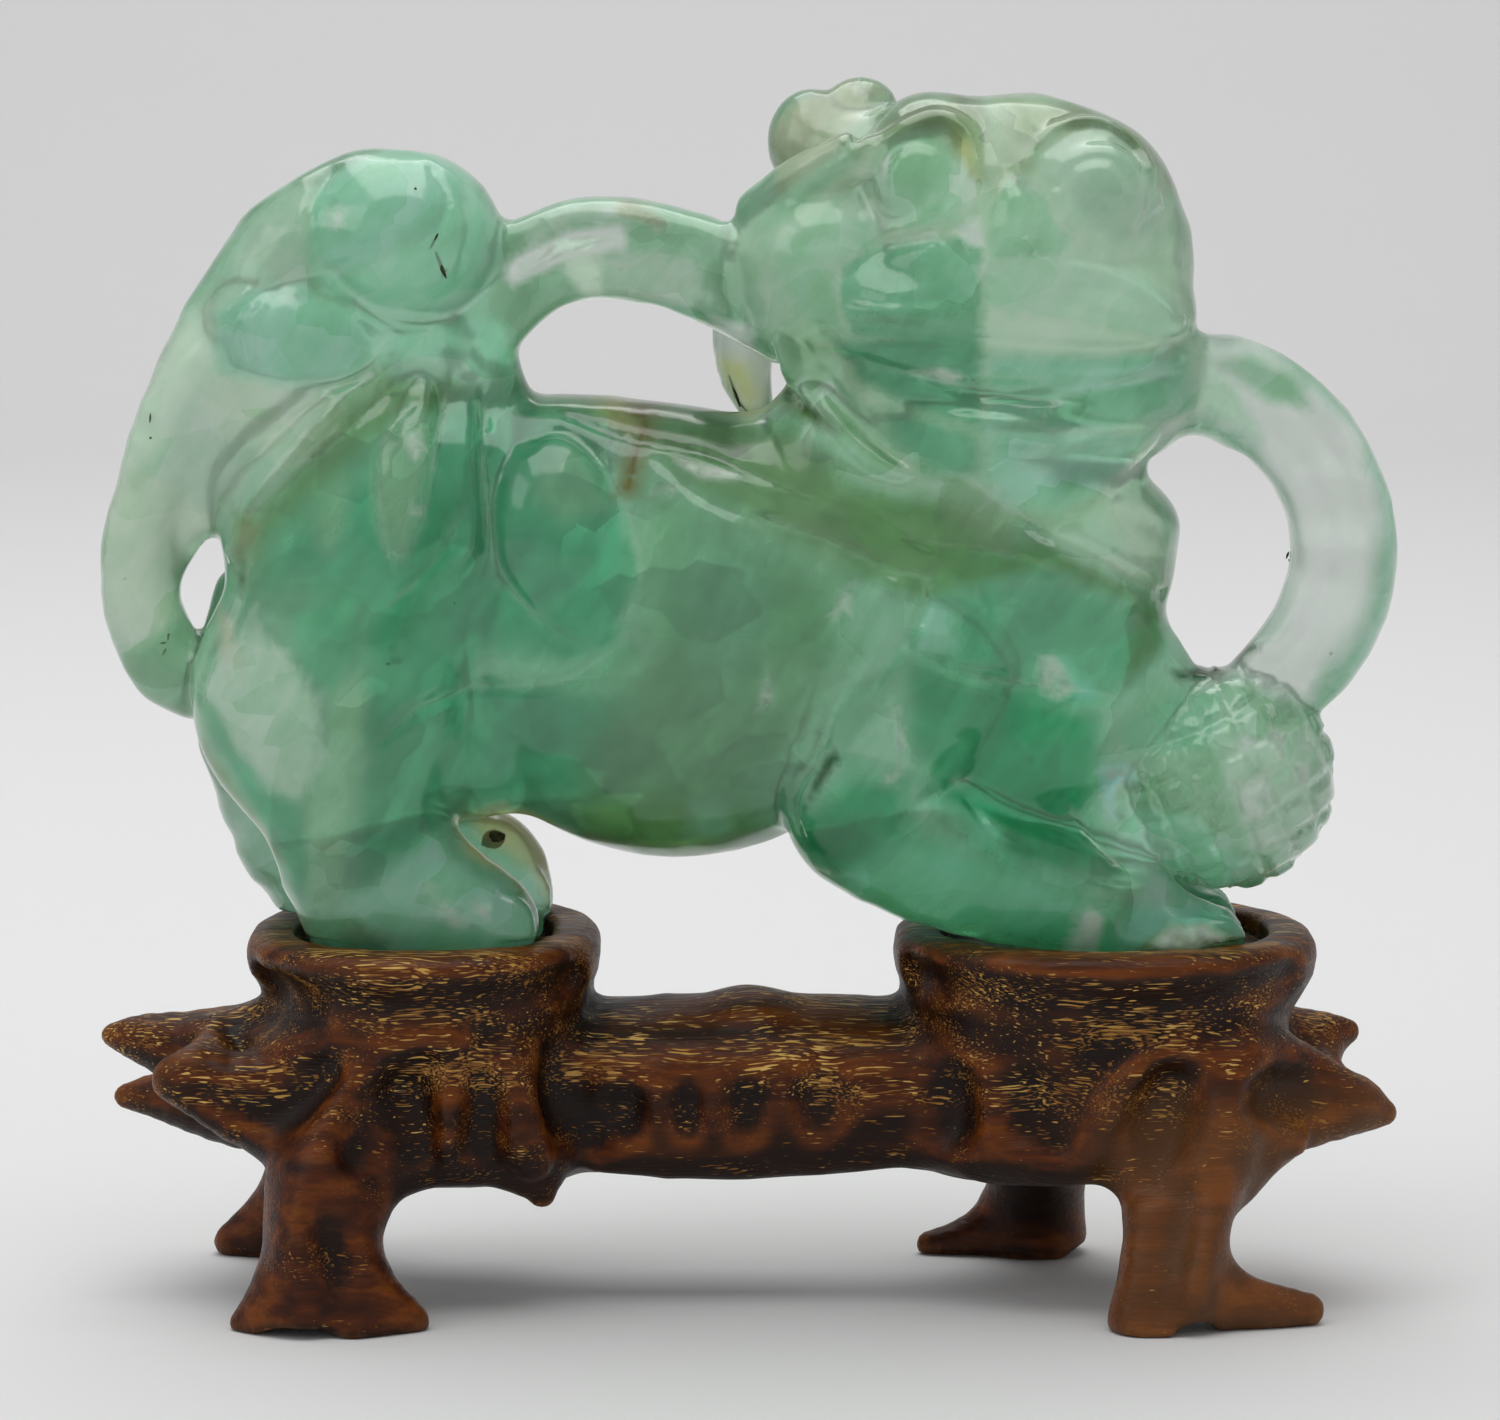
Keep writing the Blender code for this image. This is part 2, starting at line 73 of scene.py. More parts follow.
def curve_through(points, spacing=0.35):
    """Closely spaced points on the smooth curve through the given ones, whose last value is a radius."""
    points = [np.array(p, float) for p in points]
    ends = [points[0] * 2 - points[1], *points, points[-1] * 2 - points[-2]]
    path = []
    for before, start, end, after in zip(ends, ends[1:], ends[2:], ends[3:]):
        gap = np.linalg.norm((end - start)[:-1])
        steps = max(2, math.ceil(gap / (spacing * max(start[-1] + end[-1], 1.6))))
        for t in np.arange(steps) / steps:
            bend = 2 * before - 5 * start + 4 * end - after
            twist = 3 * start - before - 3 * end + after
            path.append(0.5 * (2 * start + (end - before) * t + bend * t**2 + twist * t**3))
    return [*path, points[-1]]


class Carving:
    """A block being carved: each grid point's distance from its surface in millimetres, below 0 inside."""

    def __init__(self, low, high, pitch):
        self.low = np.array(low, float)
        self.pitch = pitch
        count = np.ceil((np.array(high, float) - self.low) / pitch).astype(int) + 1
        self.depth = np.full(count, 9.0, np.float32)
        self.axes = [self.low[i] + pitch * np.arange(count[i]) for i in range(3)]

    def window(self, low, high):
        """The part of the grid between two corners, with its X, Y and Z."""
        cuts = []
        for axis in range(3):
            start = int((low[axis] - self.low[axis]) / self.pitch)
            stop = int((high[axis] - self.low[axis]) / self.pitch) + 2
            cuts.append(slice(max(0, start), max(0, min(self.depth.shape[axis], stop))))
        x, y, z = (self.axes[i][cuts[i]].astype(np.float32) for i in range(3))
        return tuple(cuts), x[:, None, None], y[None, :, None], z[None, None, :]

    def merge(self, cuts, form, blend, cut):
        """Adds a form to the block, or takes it away."""
        if cut:
            self.depth[cuts] = -soft_min(-self.depth[cuts], form, blend)
        else:
            self.depth[cuts] = soft_min(self.depth[cuts], form, blend)

    def ball(self, centre, radii, lean=0.0, blend=2.0, cut=False):
        """An egg. lean turns its top towards +X, in degrees."""
        reach = np.array([max(radii[0], radii[2])] * 3) + blend + 2.5
        reach[1] = radii[1] + blend + 2.5
        cuts, x, y, z = self.window(np.array(centre) - reach, np.array(centre) + reach)
        c, s = math.cos(math.radians(lean)), math.sin(math.radians(lean))
        along = (x - centre[0]) * c - (z - centre[2]) * s
        up = (x - centre[0]) * s + (z - centre[2]) * c
        share = np.sqrt((along / radii[0]) ** 2 + ((y - centre[1]) / radii[1]) ** 2 + (up / radii[2]) ** 2)
        slope = np.sqrt(
            (along / radii[0] ** 2) ** 2 + ((y - centre[1]) / radii[1] ** 2) ** 2 + (up / radii[2] ** 2) ** 2
        )
        self.merge(cuts, share * (share - 1.0) / np.maximum(slope, 1e-4), blend, cut)

    def limb(self, points, flat=1.0, blend=2.0, cut=False):
        """A limb through points (x, y, z, radius). flat is its depth in Y as a share of its width."""
        path = curve_through(points)
        low = np.min([p[:3] - p[3] * max(1.0, flat) for p in path], axis=0) - blend - 2.5
        high = np.max([p[:3] + p[3] * max(1.0, flat) for p in path], axis=0) + blend + 2.5
        whole, *_ = self.window(low, high)
        form = np.full(self.depth[whole].shape, 9.0, np.float32)
        for a, b in zip(path, path[1:]):
            reach = max(a[3], b[3]) * max(1.0, flat) + blend + 2.5
            cuts, x, y, z = self.window(
                np.maximum(np.minimum(a, b)[:3] - reach, low), np.minimum(np.maximum(a, b)[:3] + reach, high)
            )
            inner = tuple(slice(c.start - w.start, c.stop - w.start) for c, w in zip(cuts, whole))
            step = b - a
            step_y = step[1] / flat
            length = max(step[0] ** 2 + step_y**2 + step[2] ** 2, 1e-6)
            dx, dy, dz = x - a[0], (y - a[1]) / flat, z - a[2]
            t = np.clip((dx * step[0] + dy * step_y + dz * step[2]) / length, 0.0, 1.0)
            away = np.sqrt((dx - t * step[0]) ** 2 + (dy - t * step_y) ** 2 + (dz - t * step[2]) ** 2)
            form[inner] = np.minimum(form[inner], (away - a[3] - t * step[3]) * min(1.0, flat))
        self.merge(whole, form, blend, cut)

    def both(self, points, flat=1.0, blend=2.0):
        """The same limb on the near and on the far side."""
        self.limb(points, flat, blend)
        self.limb([(x, -y, z, radius) for x, y, z, radius in points], flat, blend)

    def depth_at(self, place):
        """How deep a place lies in the block: less than 0 inside."""
        cell = np.round((np.array(place) - self.low) / self.pitch).astype(int)
        return float(self.depth[tuple(np.clip(cell, 0, np.array(self.depth.shape) - 1))])

    def skin(self, x, z, side):
        """Y of the outermost surface at X and Z, on the near side (-1) or the far side (1)."""
        column = self.depth[
            min(max(int(round((x - self.low[0]) / self.pitch)), 0), self.depth.shape[0] - 1),
            :,
            min(max(int(round((z - self.low[2]) / self.pitch)), 0), self.depth.shape[2] - 1),
        ]
        inside = np.flatnonzero(column < 0.0)
        if len(inside) == 0:
            return 0.0
        edge = inside[0] if side < 0 else inside[-1]
        beyond = max(min(edge + side, len(column) - 1), 0)
        share = column[edge] / min(column[edge] - column[beyond], -1e-6)
        return float(self.axes[1][edge] + side * share * self.pitch)

    def line(self, points, sides=(-1,), proud=0.45, blend=1.0, cut=False):
        """A raised line, or a groove, that follows the surface along points (x, z, radius)."""
        for side in sides:
            path = curve_through(points)
            depths = np.array([self.skin(x, z, side) for x, z, _ in path])
            for _ in range(2):
                depths[1:-1] = (depths[:-2] + 2 * depths[1:-1] + depths[2:]) / 4
            inward = (proud if cut else 1.0 - proud) * (-1 if cut else 1)
            self.limb(
                [(x, y - side * radius * inward, z, radius) for (x, z, radius), y in zip(path, depths)],
                blend=blend, cut=cut,
            )

    def strap(self, points, strands=3, flat=1.9, blend=2.8):
        """A strap of rounded strands side by side."""
        path = curve_through(points)
        for strand in range(strands):
            share = (2 * strand + 1) / strands - 1
            shifted = []
            for i, point in enumerate(path):
                along = path[min(i + 1, len(path) - 1)] - path[max(i - 1, 0)]
                across = np.array([along[2], 0.0, -along[0]]) / math.hypot(along[0], along[2])
                shifted.append((*(point[:3] + across * point[3] * share * 0.94), point[3] * 1.24 / strands))
            self.limb(shifted[::2] + shifted[-1:], flat, blend)

    def oval_cup(self, middle, levels, blend):
        """A stack of ovals (half length, half depth, height), from the lowest up, as one bowl."""
        most = max(level[0] for level in levels) + blend + 2
        cuts, x, y, z = self.window(
            (middle - most, -most, levels[0][2] - 4), (middle + most, most, levels[-1][2] + 4)
        )
        heights = [level[2] for level in levels]
        half_length = np.interp(z, heights, [level[0] for level in levels])
        half_depth = np.interp(z, heights, [level[1] for level in levels])
        side = oval_distance(x - middle, y, half_length, half_depth)
        form = -soft_min(-side, -np.maximum(z - heights[-1], heights[0] - z), 2.6)
        self.merge(cuts, form, blend, False)

    def facets(self, wave, amount, seed):
        """Shallow cuts that meet in soft edges, as a wheel leaves them, about a wave apart."""
        cells = [int(n * self.pitch / wave) + 3 for n in self.depth.shape]
        spread = np.random.default_rng(seed).uniform(-1, 1, cells)
        for axis, count in enumerate(self.depth.shape):
            place = np.arange(count) * self.pitch / wave
            cell = place.astype(int)
            share = place - cell
            share = (share * share * (3 - 2 * share)).reshape([-1 if a == axis else 1 for a in range(3)])
            spread = np.take(spread, cell, axis) * (1 - share) + np.take(spread, cell + 1, axis) * share
        self.depth += (np.abs(spread) * amount).astype(np.float32)

    def boss(self, x, z, radii, proud):
        """A low rounded swelling that stands proud of the near side."""
        self.ball((x, self.skin(x, z, -1) + radii[1] - proud, z), radii, blend=1.0)

    def trowel(self, softness):
        """How far the surface stands out (above 0) or lies back (below 0) against its surroundings."""
        smooth = self.depth.astype(np.float64)
        reach = max(1, int(round(softness / self.pitch)))
        for axis in range(3):
            margins = [(reach + 1, reach) if a == axis else (0, 0) for a in range(3)]
            total = np.cumsum(np.pad(smooth, margins, "edge"), axis=axis)
            top = np.take(total, range(2 * reach + 1, total.shape[axis]), axis=axis)
            bottom = np.take(total, range(0, total.shape[axis] - 2 * reach - 1), axis=axis)
            smooth = (top - bottom) / (2 * reach + 1)
        return (smooth - self.depth).astype(np.float32)

    def surface(self):
        """The finished surface as corners in millimetres and four-sided faces."""
        grid = openvdb.FloatGrid(9.0)
        grid.copyFromArray(self.depth.astype(float))
        corners, quads = grid.convertToQuads(isovalue=0.0)
        return corners * self.pitch + self.low, quads


def oval_distance(x, y, half_length, half_depth):
    """Distance, about, from the outline of a cup seen from above."""
    share = np.abs(x / half_length) ** OVAL_FULLNESS + np.abs(y / half_depth) ** OVAL_FULLNESS
    return (share ** (1 / OVAL_FULLNESS) - 1.0) * np.minimum(half_length, half_depth)


def piece_from(name, carving, node, most_triangles, attributes):
    """The block as a mesh that fills its CAD node's box, with what the material reads on each corner."""
    corners, quads = carving.surface()
    first = corners[quads[:, 0]]
    if np.einsum("ij,ij->", first, np.cross(corners[quads[:, 1]], corners[quads[:, 2]])) < 0:
        quads = quads[:, ::-1]
    mesh = bpy.data.meshes.new(name)
    mesh.from_pydata(corners.tolist(), [], quads.tolist())
    rough = bpy.data.objects.new(name + "_rough", mesh)
    bpy.context.scene.collection.objects.link(rough)
    smooth = rough.modifiers.new("rub_down", "SMOOTH")
    smooth.factor = 0.4
    smooth.iterations = 2
    thin = rough.modifiers.new("thin", "DECIMATE")
    thin.ratio = min(1.0, most_triangles / (2 * len(quads)))
    bpy.context.view_layer.update()
    made = bpy.data.meshes.new_from_object(rough.evaluated_get(bpy.context.evaluated_depsgraph_get()))
    bpy.data.objects.remove(rough)
    bpy.data.meshes.remove(mesh)
    made.name = name
    where = np.empty(len(made.vertices) * 3, np.float32)
    made.vertices.foreach_get("co", where)
    where = where.reshape(-1, 3)
    cell = np.round((where - carving.low) / carving.pitch).astype(int)
    cell = np.clip(cell, 0, np.array(carving.depth.shape) - 1)
    for label, values in attributes.items():
        layer = made.attributes.new(label, "FLOAT", "POINT")
        layer.data.foreach_set("value", values[cell[:, 0], cell[:, 1], cell[:, 2]])
    low, high = (np.array(corner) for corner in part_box(node))
    stretch = (high - low) / (where.max(axis=0) - where.min(axis=0))
    shift = low - where.min(axis=0) * stretch
    made.vertices.foreach_set("co", (where * stretch + shift).astype(np.float32).ravel())
    made.shade_smooth()
    piece = bpy.data.objects.new(name, made)
    bpy.context.scene.collection.objects.link(piece)
    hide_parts(node)
    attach(piece, "root")
    return piece, stretch, shift


def linear(hex_colour):
    """A colour as the eye gives it, as light."""
    parts = [int(hex_colour[i:i + 2], 16) / 255 for i in (1, 3, 5)]
    return (*(p / 12.92 if p <= 0.04045 else ((p + 0.055) / 1.055) ** 2.4 for p in parts), 1.0)


def add(material, kind, settings=None, out=0, **links):
    """Adds a node with its settings, links or sets its inputs by name or in_NUMBER, and gives an output."""
    node = material.node_tree.nodes.new(kind)
    for key, value in (settings or {}).items():
        if key != "stops":
            setattr(node, key, value)
            continue
        while len(node.color_ramp.elements) < len(value):
            node.color_ramp.elements.new(0.5)
        for element, (place_on_ramp, colour) in zip(node.color_ramp.elements, value):
            element.position = place_on_ramp
            element.color = linear(colour)
    for key, value in links.items():
        socket = node.inputs[int(key[3:])] if key.startswith("in_") else node.inputs[key.replace("_", " ")]
        if isinstance(value, bpy.types.NodeSocket):
            material.node_tree.links.new(value, socket)
        else:
            socket.default_value = value
    return node.outputs[out]


def new_material(name):
    """A material with nodes, and its main shader."""
    made = bpy.data.materials.new(name)
    made.use_nodes = True
    return made, made.node_tree.nodes["Principled BSDF"]


stand = Carving((-92, -33, -2), (92, 33, 55), STAND_PITCH)
hind, front = HIND_SOLE[0], FRONT_SOLE[0]
span = front - hind
deep = HIND_SOLE[2] + SEAT_CLEARANCE + 1.0
rim = SEAT_HEIGHT + SEAT_DEPTH
wide = deep / (LOG_RADIUS + 0.6)
near, far = -deep - 4.5, deep + 3.0
stand.limb([
    (hind, 0, LOG_HEIGHT, LOG_RADIUS), (hind + 0.25 * span, 0, LOG_HEIGHT - 0.4, LOG_RADIUS),
    (hind + 0.47 * span, 0, LOG_HEIGHT, LOG_RADIUS * 1.03),
    (hind + 0.72 * span, 0, LOG_HEIGHT + 0.6, LOG_RADIUS * 0.92),
    (front, 0, LOG_HEIGHT + 0.8, LOG_RADIUS * 0.96),
], flat=1.25)
stand.ball((hind + 0.48 * span, -2, LOG_HEIGHT + LOG_RADIUS * 0.72), (5.6, 7, 4.2), blend=4)
stand.limb([
    (hind - 10, 0, LOG_HEIGHT, LOG_RADIUS - 1), (hind, 0, LOG_HEIGHT, LOG_RADIUS + 0.8),
    (hind + 10, 0, LOG_HEIGHT, LOG_RADIUS),
], flat=wide, blend=6)
stand.limb([
    (front - 13, 0, LOG_HEIGHT, LOG_RADIUS), (front, 0, LOG_HEIGHT + 1, LOG_RADIUS + 0.8),
    (front + 13, 0, LOG_HEIGHT + 1, LOG_RADIUS),
], flat=wide, blend=6)
for middle, half_length, half_depth in (HIND_SOLE, FRONT_SOLE):
    levels = []
    for spread, drop in (
        (0.0, 33), (0.28, 27), (0.3, 20), (0.36, 14), (0.5, 11), (0.72, 8.5), (0.94, 5.8), (1.0, 3.2),
        (0.97, 1.2), (0.9, 0.0),
    ):
        wall = SEAT_CLEARANCE + RIM_WALL * spread
        levels.append((half_length + wall, half_depth + wall, rim - drop))
    stand.oval_cup(middle, levels, blend=5)


def foot(points):
    """A leg's shaft, or a toe that spreads from it."""
    stand.limb(points, flat=0.9, blend=4.5)


def stump(base, tip, thick):
    """A cut root's end, worn to a blunt point."""
    base, tip = np.array(base, float), np.array(tip, float)
    stand.limb([
        (*base, thick), (*(base + (tip - base) * 0.45 + (0, 0, -1.2)), thick * 0.72),
        (*(base + (tip - base) * 0.8), thick * 0.42), (*(tip - (tip - base) * 0.035), 1.9),
    ], blend=3.5)


foot([
    (hind - 9, near + 14, LOG_HEIGHT - 2, 11), (hind - 12.4, near + 6, 18, 9),
    (hind - 13.4, near + 2, 9, 8.2), (hind - 13, near, 1, 8.6),
])
foot([(hind - 15, near, 5, 5.6), (hind - 20, near, 1.8, 4.2), (hind - 23.4, near, 0.6, 2.4)])
foot([(hind - 11, near, 6, 5.6), (hind - 5, near - 0.4, 2.6, 4.4), (hind - 1.4, near, 1.0, 3.0)])
foot([
    (front + 15, near + 14, LOG_HEIGHT - 3, 11), (front + 10, near + 7, 18, 8.4),
    (front + 8.6, near + 3, 10.5, 7), (front + 7.2, near, 1, 6.2),
])
foot([(front + 8, near, 4, 4.6), (front + 4.6, near - 0.6, 1.0, 4.4)])
foot([(front + 9, near + 1, 7, 5.2), (front + 18, near + 2, 3.0, 4.4), (front + 26.8, near + 3, 2.0, 2.6)])
foot([
    (front - 6, far - 12, LOG_HEIGHT - 3, 9), (front - 8.2, far - 4, 14, 7.2), (front - 8, far, 5, 7),
    (front - 7.6, far, 0.5, 7.2),
])
foot([(front - 10, far, 4.4, 5), (front - 18, far - 0.6, 1.8, 3.4), (front - 23.4, far - 1, 1.4, 2.0)])
foot([
    (hind - 10, far - 12, LOG_HEIGHT - 3, 9), (hind - 17, far - 4, 14, 6.4), (hind - 21, far - 1, 6, 5.4),
    (hind - 23.6, far, 0.5, 4.6),
])
foot([(hind - 22, far, 3.6, 4.2), (hind - 29, far - 1, 1.8, 2.6)])
stump((hind - 14, 0, LOG_HEIGHT + 3), (hind - 44.6, 2, 35.6), 9.4)
stump((hind - 12, 9, LOG_HEIGHT - 4), (hind - 44.0, 12, 24.8), 8.6)
stump((hind - 8, -11, LOG_HEIGHT - 1), (hind - 35.6, -14, 31.8), 10.4)
stump((front + 16, 8, LOG_HEIGHT + 3), (front + 35.8, 13, 34.0), 7.6)
stump((front + 12, -8, LOG_HEIGHT + 2), (front + 39.4, -9, 26.6), 9.4)
stump((front + 12, -14, LOG_HEIGHT - 2), (front + 25.8, -17, 24.0), 7.4)
stump((hind + 14, -10, LOG_HEIGHT - 2), (hind + 16.6, -12.6, 15.6), 6.6)
# Roots that stand out like sinews, on the near side and on the far side
for sinew in (
    [(-60.3, 12.4, 3), (-57.8, 22.8, 3.5), (-53.1, 30.1, 3.5), (-47.3, 36.1, 3), (-41.2, 39.3, 2)],
    [(-41.2, 37.2, 2), (-40.3, 32.4, 2.8), (-41.3, 26.0, 2)],
    [(-78.7, 33.7, 1.6), (-73.9, 35.6, 2.4), (-65.7, 37.8, 3), (-57.6, 38.5, 2)],
    [(46.8, 28.5, 2), (49.2, 33.1, 3), (54.5, 36.7, 3.4), (60.6, 37.2, 3.2), (65.2, 33.8, 3),
        (66.1, 28.0, 2.4)],
    [(66.1, 30.4, 3), (64.4, 23.5, 3), (62.1, 15.9, 2.6), (59.5, 6.9, 2.2)],
    [(67.3, 36.2, 3), (75.4, 34.0, 2.6), (84.0, 29.0, 1.5)],
    [(-19.9, 20.9, 1.6), (-6.2, 20.4, 2.2), (11.6, 20.9, 2.2), (28.0, 22.3, 2.2), (45.8, 22.6, 1.6)],
):
    stand.line(sinew, sides=(-1, 1), proud=0.3, blend=4.5)
stand.limb([(-33.6, -17, 34, 6.0), (-31.4, -18.5, 27.6, 4.8), (-29.4, -18.5, 21.5, 2.6)], blend=2.5)
# Troughs and thumb-deep scoops between them, which the painted shade darkens
for trough in (
    [(-53.2, 24.9, 2), (-50.0, 30.0, 3.6), (-45.3, 34.3, 3), (-40.5, 36.4, 1.5)],
    [(-46.6, 31.5, 2), (-45.4, 27.5, 2.8), (-45.0, 24.6, 2)],
    [(-36.6, 34.4, 1.5), (-35.8, 29.7, 2.6), (-36.6, 24.4, 2)],
    [(-25.6, 34.7, 2), (-24.2, 29.4, 4.2), (-21.1, 24.0, 2.5)],
    [(-71.8, 39.2, 1.5), (-66.4, 41.6, 2.5), (-60.3, 40.9, 1.5)],
    [(-74.0, 30.2, 1.5), (-67.9, 29.3, 3), (-62.4, 31.2, 3.4), (-58.0, 34.8, 2)],
    [(-56.9, 15.0, 1.6), (-55.0, 9.7, 2.2), (-56.0, 2.4, 1.6)],
    [(42.0, 25.0, 2), (44.4, 31.2, 3.2), (49.0, 37.2, 2.8), (54.6, 40.4, 1.5)],
    [(57.4, 32.6, 2.6), (56.2, 27.6, 3.8), (54.9, 21.1, 2.4)],
    [(58.9, 19.3, 2), (57.2, 12.4, 2.6), (56.0, 4.1, 2)],
    [(69.8, 31.0, 2), (74.4, 30.6, 2.8), (79.4, 29.0, 1.2)],
):
    stand.line(trough, sides=(-1, 1), proud=0.2, blend=3.5, cut=True)
for x, z, wide_scoop, tall in (
    (-17.2, 27.4, 3.6, 4.6), (-8.4, 28.2, 2.8, 5.0), (-0.1, 28.2, 3.8, 6.0), (10.4, 29.0, 4.6, 6.6),
    (26.7, 29.0, 4.6, 6.2), (37.6, 30.2, 5.4, 5.6),
):
    for side in (-1, 1):
        stand.ball((x, stand.skin(x, z, side) + side * 1.9, z), (wide_scoop, 4.4, tall), blend=2.6, cut=True)
for lip in (
    [(-66.9, 45.0, 2.2), (-60.1, 43.9, 2.6), (-43.9, 43.0, 2.6), (-30.4, 43.9, 2.6), (-23.4, 45.4, 2.2)],
    [(21.5, 46.0, 2.2), (31.6, 44.3, 2.6), (49.2, 43.2, 2.6), (65.4, 44.0, 2.6), (74.8, 46.1, 2.2)],
):
    stand.line(lip, sides=(-1, 1), proud=0.75, blend=4.0, cut=True)
stand.facets(7.0, 0.35, 21)
for x, y, wide_arch, tall in (
    (-60.5, -25, 7.5, 5.0), (60.5, -23, 4.2, 5.4), (-60, 24, 5, 4.4), (48, 24, 5, 4.4),
):
    stand.ball((x, y, -3), (wide_arch, 12, tall), blend=1.5, cut=True)
cuts, x, y, z = stand.window((-92, -33, -2), (92, 33, 55))
for middle, half_length, half_depth in (HIND_SOLE, FRONT_SOLE):
    recess = np.maximum(
        oval_distance(x - middle, y, half_length + SEAT_CLEARANCE, half_depth + SEAT_CLEARANCE),
        SEAT_HEIGHT - z,
    )
    stand.merge(cuts, recess, 0.7, True)
stand.depth = np.maximum(stand.depth, -z).astype(np.float32)
stand_piece, _, _ = piece_from(
    "carved_rootwood_stand", stand, "rootwood_stand", STAND_TRIANGLES,
    {"standing_out": stand.trowel(1.6), "standing_far_out": stand.trowel(4.5)},
)

# Oiled rosewood: brown-red ground, with painted shade near black in the hollows, and short tan pores along
# the grain
PORE_LENGTH = 4.2         # millimetres
PORE_WIDTH = 0.30         # real pores are about 0.2, drawn wider so that they show
SMALL_PORE_LENGTH = 2.2
SMALL_PORE_WIDTH = 0.22
BAND_LENGTH = 40.0
BAND_WIDTH = 3.0
SMOOTH = {"interpolation_type": "SMOOTHSTEP"}
TIMES = {"operation": "MULTIPLY"}
TIMES_PLUS = {"operation": "MULTIPLY_ADD"}
TINTED = {"data_type": "RGBA", "blend_type": "MIX"}
OVERLAID = {"data_type": "RGBA", "blend_type": "OVERLAY"}
rosewood, shader = new_material("oiled_rosewood")
place = add(rosewood, "ShaderNodeTexCoord", out="Object")
sway = add(rosewood, "ShaderNodeTexNoise", out="Color", Vector=place, Scale=40.0, Detail=2.0)
swayed = add(rosewood, "ShaderNodeVectorMath", TIMES_PLUS, in_0=sway, in_1=(0.0, 0.004, 0.004), in_2=place)


def grain(length, width, **settings):
    """Marks of a length along X and a width across it, in millimetres, as a number from 0 to 1."""
    steps = (1 / (length * MM), 1 / (width * MM), 1 / (width * MM))
    along = add(rosewood, "ShaderNodeVectorMath", TIMES, in_0=swayed, in_1=steps)
    return add(rosewood, "ShaderNodeTexNoise", Vector=along, Scale=1.0, **settings)


# Used for painted shade as well as for wear, pores and the stone's pale grooves
def wipe_colour(material, ground, value, low, high, most, colour):
    """Wipes a colour over the ground as a value goes from low to high, up to a share of most."""
    share = add(material, "ShaderNodeMapRange", SMOOTH, Value=value, From_Min=low, From_Max=high, To_Max=most)
    return add(material, "ShaderNodeMix", TINTED, out=2, in_0=share, in_6=ground, in_7=linear(colour))


bands = grain(BAND_LENGTH, BAND_WIDTH, Detail=3.0)
browns = [(0.3, "#2e1204"), (0.5, "#5b2b07"), (0.68, "#86480c")]
ground = add(rosewood, "ShaderNodeValToRGB", {"stops": browns}, Fac=bands)
fine = grain(14.0, 0.45, Detail=2.0)
streaks = add(rosewood, "ShaderNodeValToRGB", {"stops": [(0.35, "#3a1b0d"), (0.65, "#8a5a30")]}, Fac=fine)
ground = add(rosewood, "ShaderNodeMix", OVERLAID, out=2, in_0=0.45, in_6=ground, in_7=streaks)

# Painted shade darkens the hollows and the undersides near black, the edges are rubbed lighter, and the right
# leg is painted lighter as if lit
hollow = add(rosewood, "ShaderNodeAttribute", {"attribute_name": "standing_far_out"}, out="Fac")
edge = add(rosewood, "ShaderNodeAttribute", {"attribute_name": "standing_out"}, out="Fac")
patches = add(rosewood, "ShaderNodeTexNoise", Vector=place, Scale=95.0, Detail=4.0, Roughness=0.6)
# Painted shade: near black in the hollows, made patchy by the noise
hollow_shade = add(rosewood, "ShaderNodeMath", TIMES_PLUS, in_0=patches, in_1=-1.1, in_2=hollow)
ground = wipe_colour(rosewood, ground, hollow_shade, -0.35, -1.1, 0.92, "#120602")
facing = add(rosewood, "ShaderNodeTexCoord", out="Normal")
facing_up = add(rosewood, "ShaderNodeSeparateXYZ", out="Z", Vector=facing)
# Painted shade: faces that turn downward are darkened near black
ground = wipe_colour(rosewood, ground, facing_up, 0.05, -0.4, 0.9, "#140702")
rubbed = add(rosewood, "ShaderNodeMath", TIMES_PLUS, in_0=patches, in_1=0.9, in_2=edge)
ground = wipe_colour(rosewood, ground, rubbed, 0.7, 1.2, 0.4, "#8a5220")
height = add(rosewood, "ShaderNodeSeparateXYZ", out="Z", Vector=place)
along = add(rosewood, "ShaderNodeSeparateXYZ", out="X", Vector=place)
# Painted light: the lower part of the right leg is lightened as if lit
low_down = add(rosewood, "ShaderNodeMapRange", SMOOTH, Value=height, From_Min=0.036, From_Max=0.026)
right_leg_light = add(
    rosewood, "ShaderNodeMapRange", SMOOTH, Value=along, From_Min=0.042, From_Max=0.054, To_Max=0.26
)
leg = add(rosewood, "ShaderNodeMath", TIMES, in_0=low_down, in_1=right_leg_light)
ground = add(rosewood, "ShaderNodeMix", TINTED, out=2, in_0=leg, in_6=ground, in_7=linear("#a06a3c"))

# Pores, in clusters, fewer on the legs and on end grain
cluster = grain(18.0, 5.0, Detail=3.0, Roughness=0.6)
upper = add(rosewood, "ShaderNodeMapRange", SMOOTH, Value=height, From_Min=0.016, From_Max=0.036)
facing_end = add(rosewood, "ShaderNodeSeparateXYZ", out="X", Vector=facing)
end_grain = add(rosewood, "ShaderNodeMath", {"operation": "ABSOLUTE"}, in_0=facing_end)
small_pore = grain(SMALL_PORE_LENGTH, SMALL_PORE_WIDTH, Detail=0.5)
for weight, number in ((0.9, cluster), (0.12, upper)):
    small_pore = add(rosewood, "ShaderNodeMath", TIMES_PLUS, in_0=number, in_1=weight, in_2=small_pore)
ground = wipe_colour(rosewood, ground, small_pore, 1.2, 1.28, 0.75, "#96642a")
pore = grain(PORE_LENGTH, PORE_WIDTH, Detail=0.5)
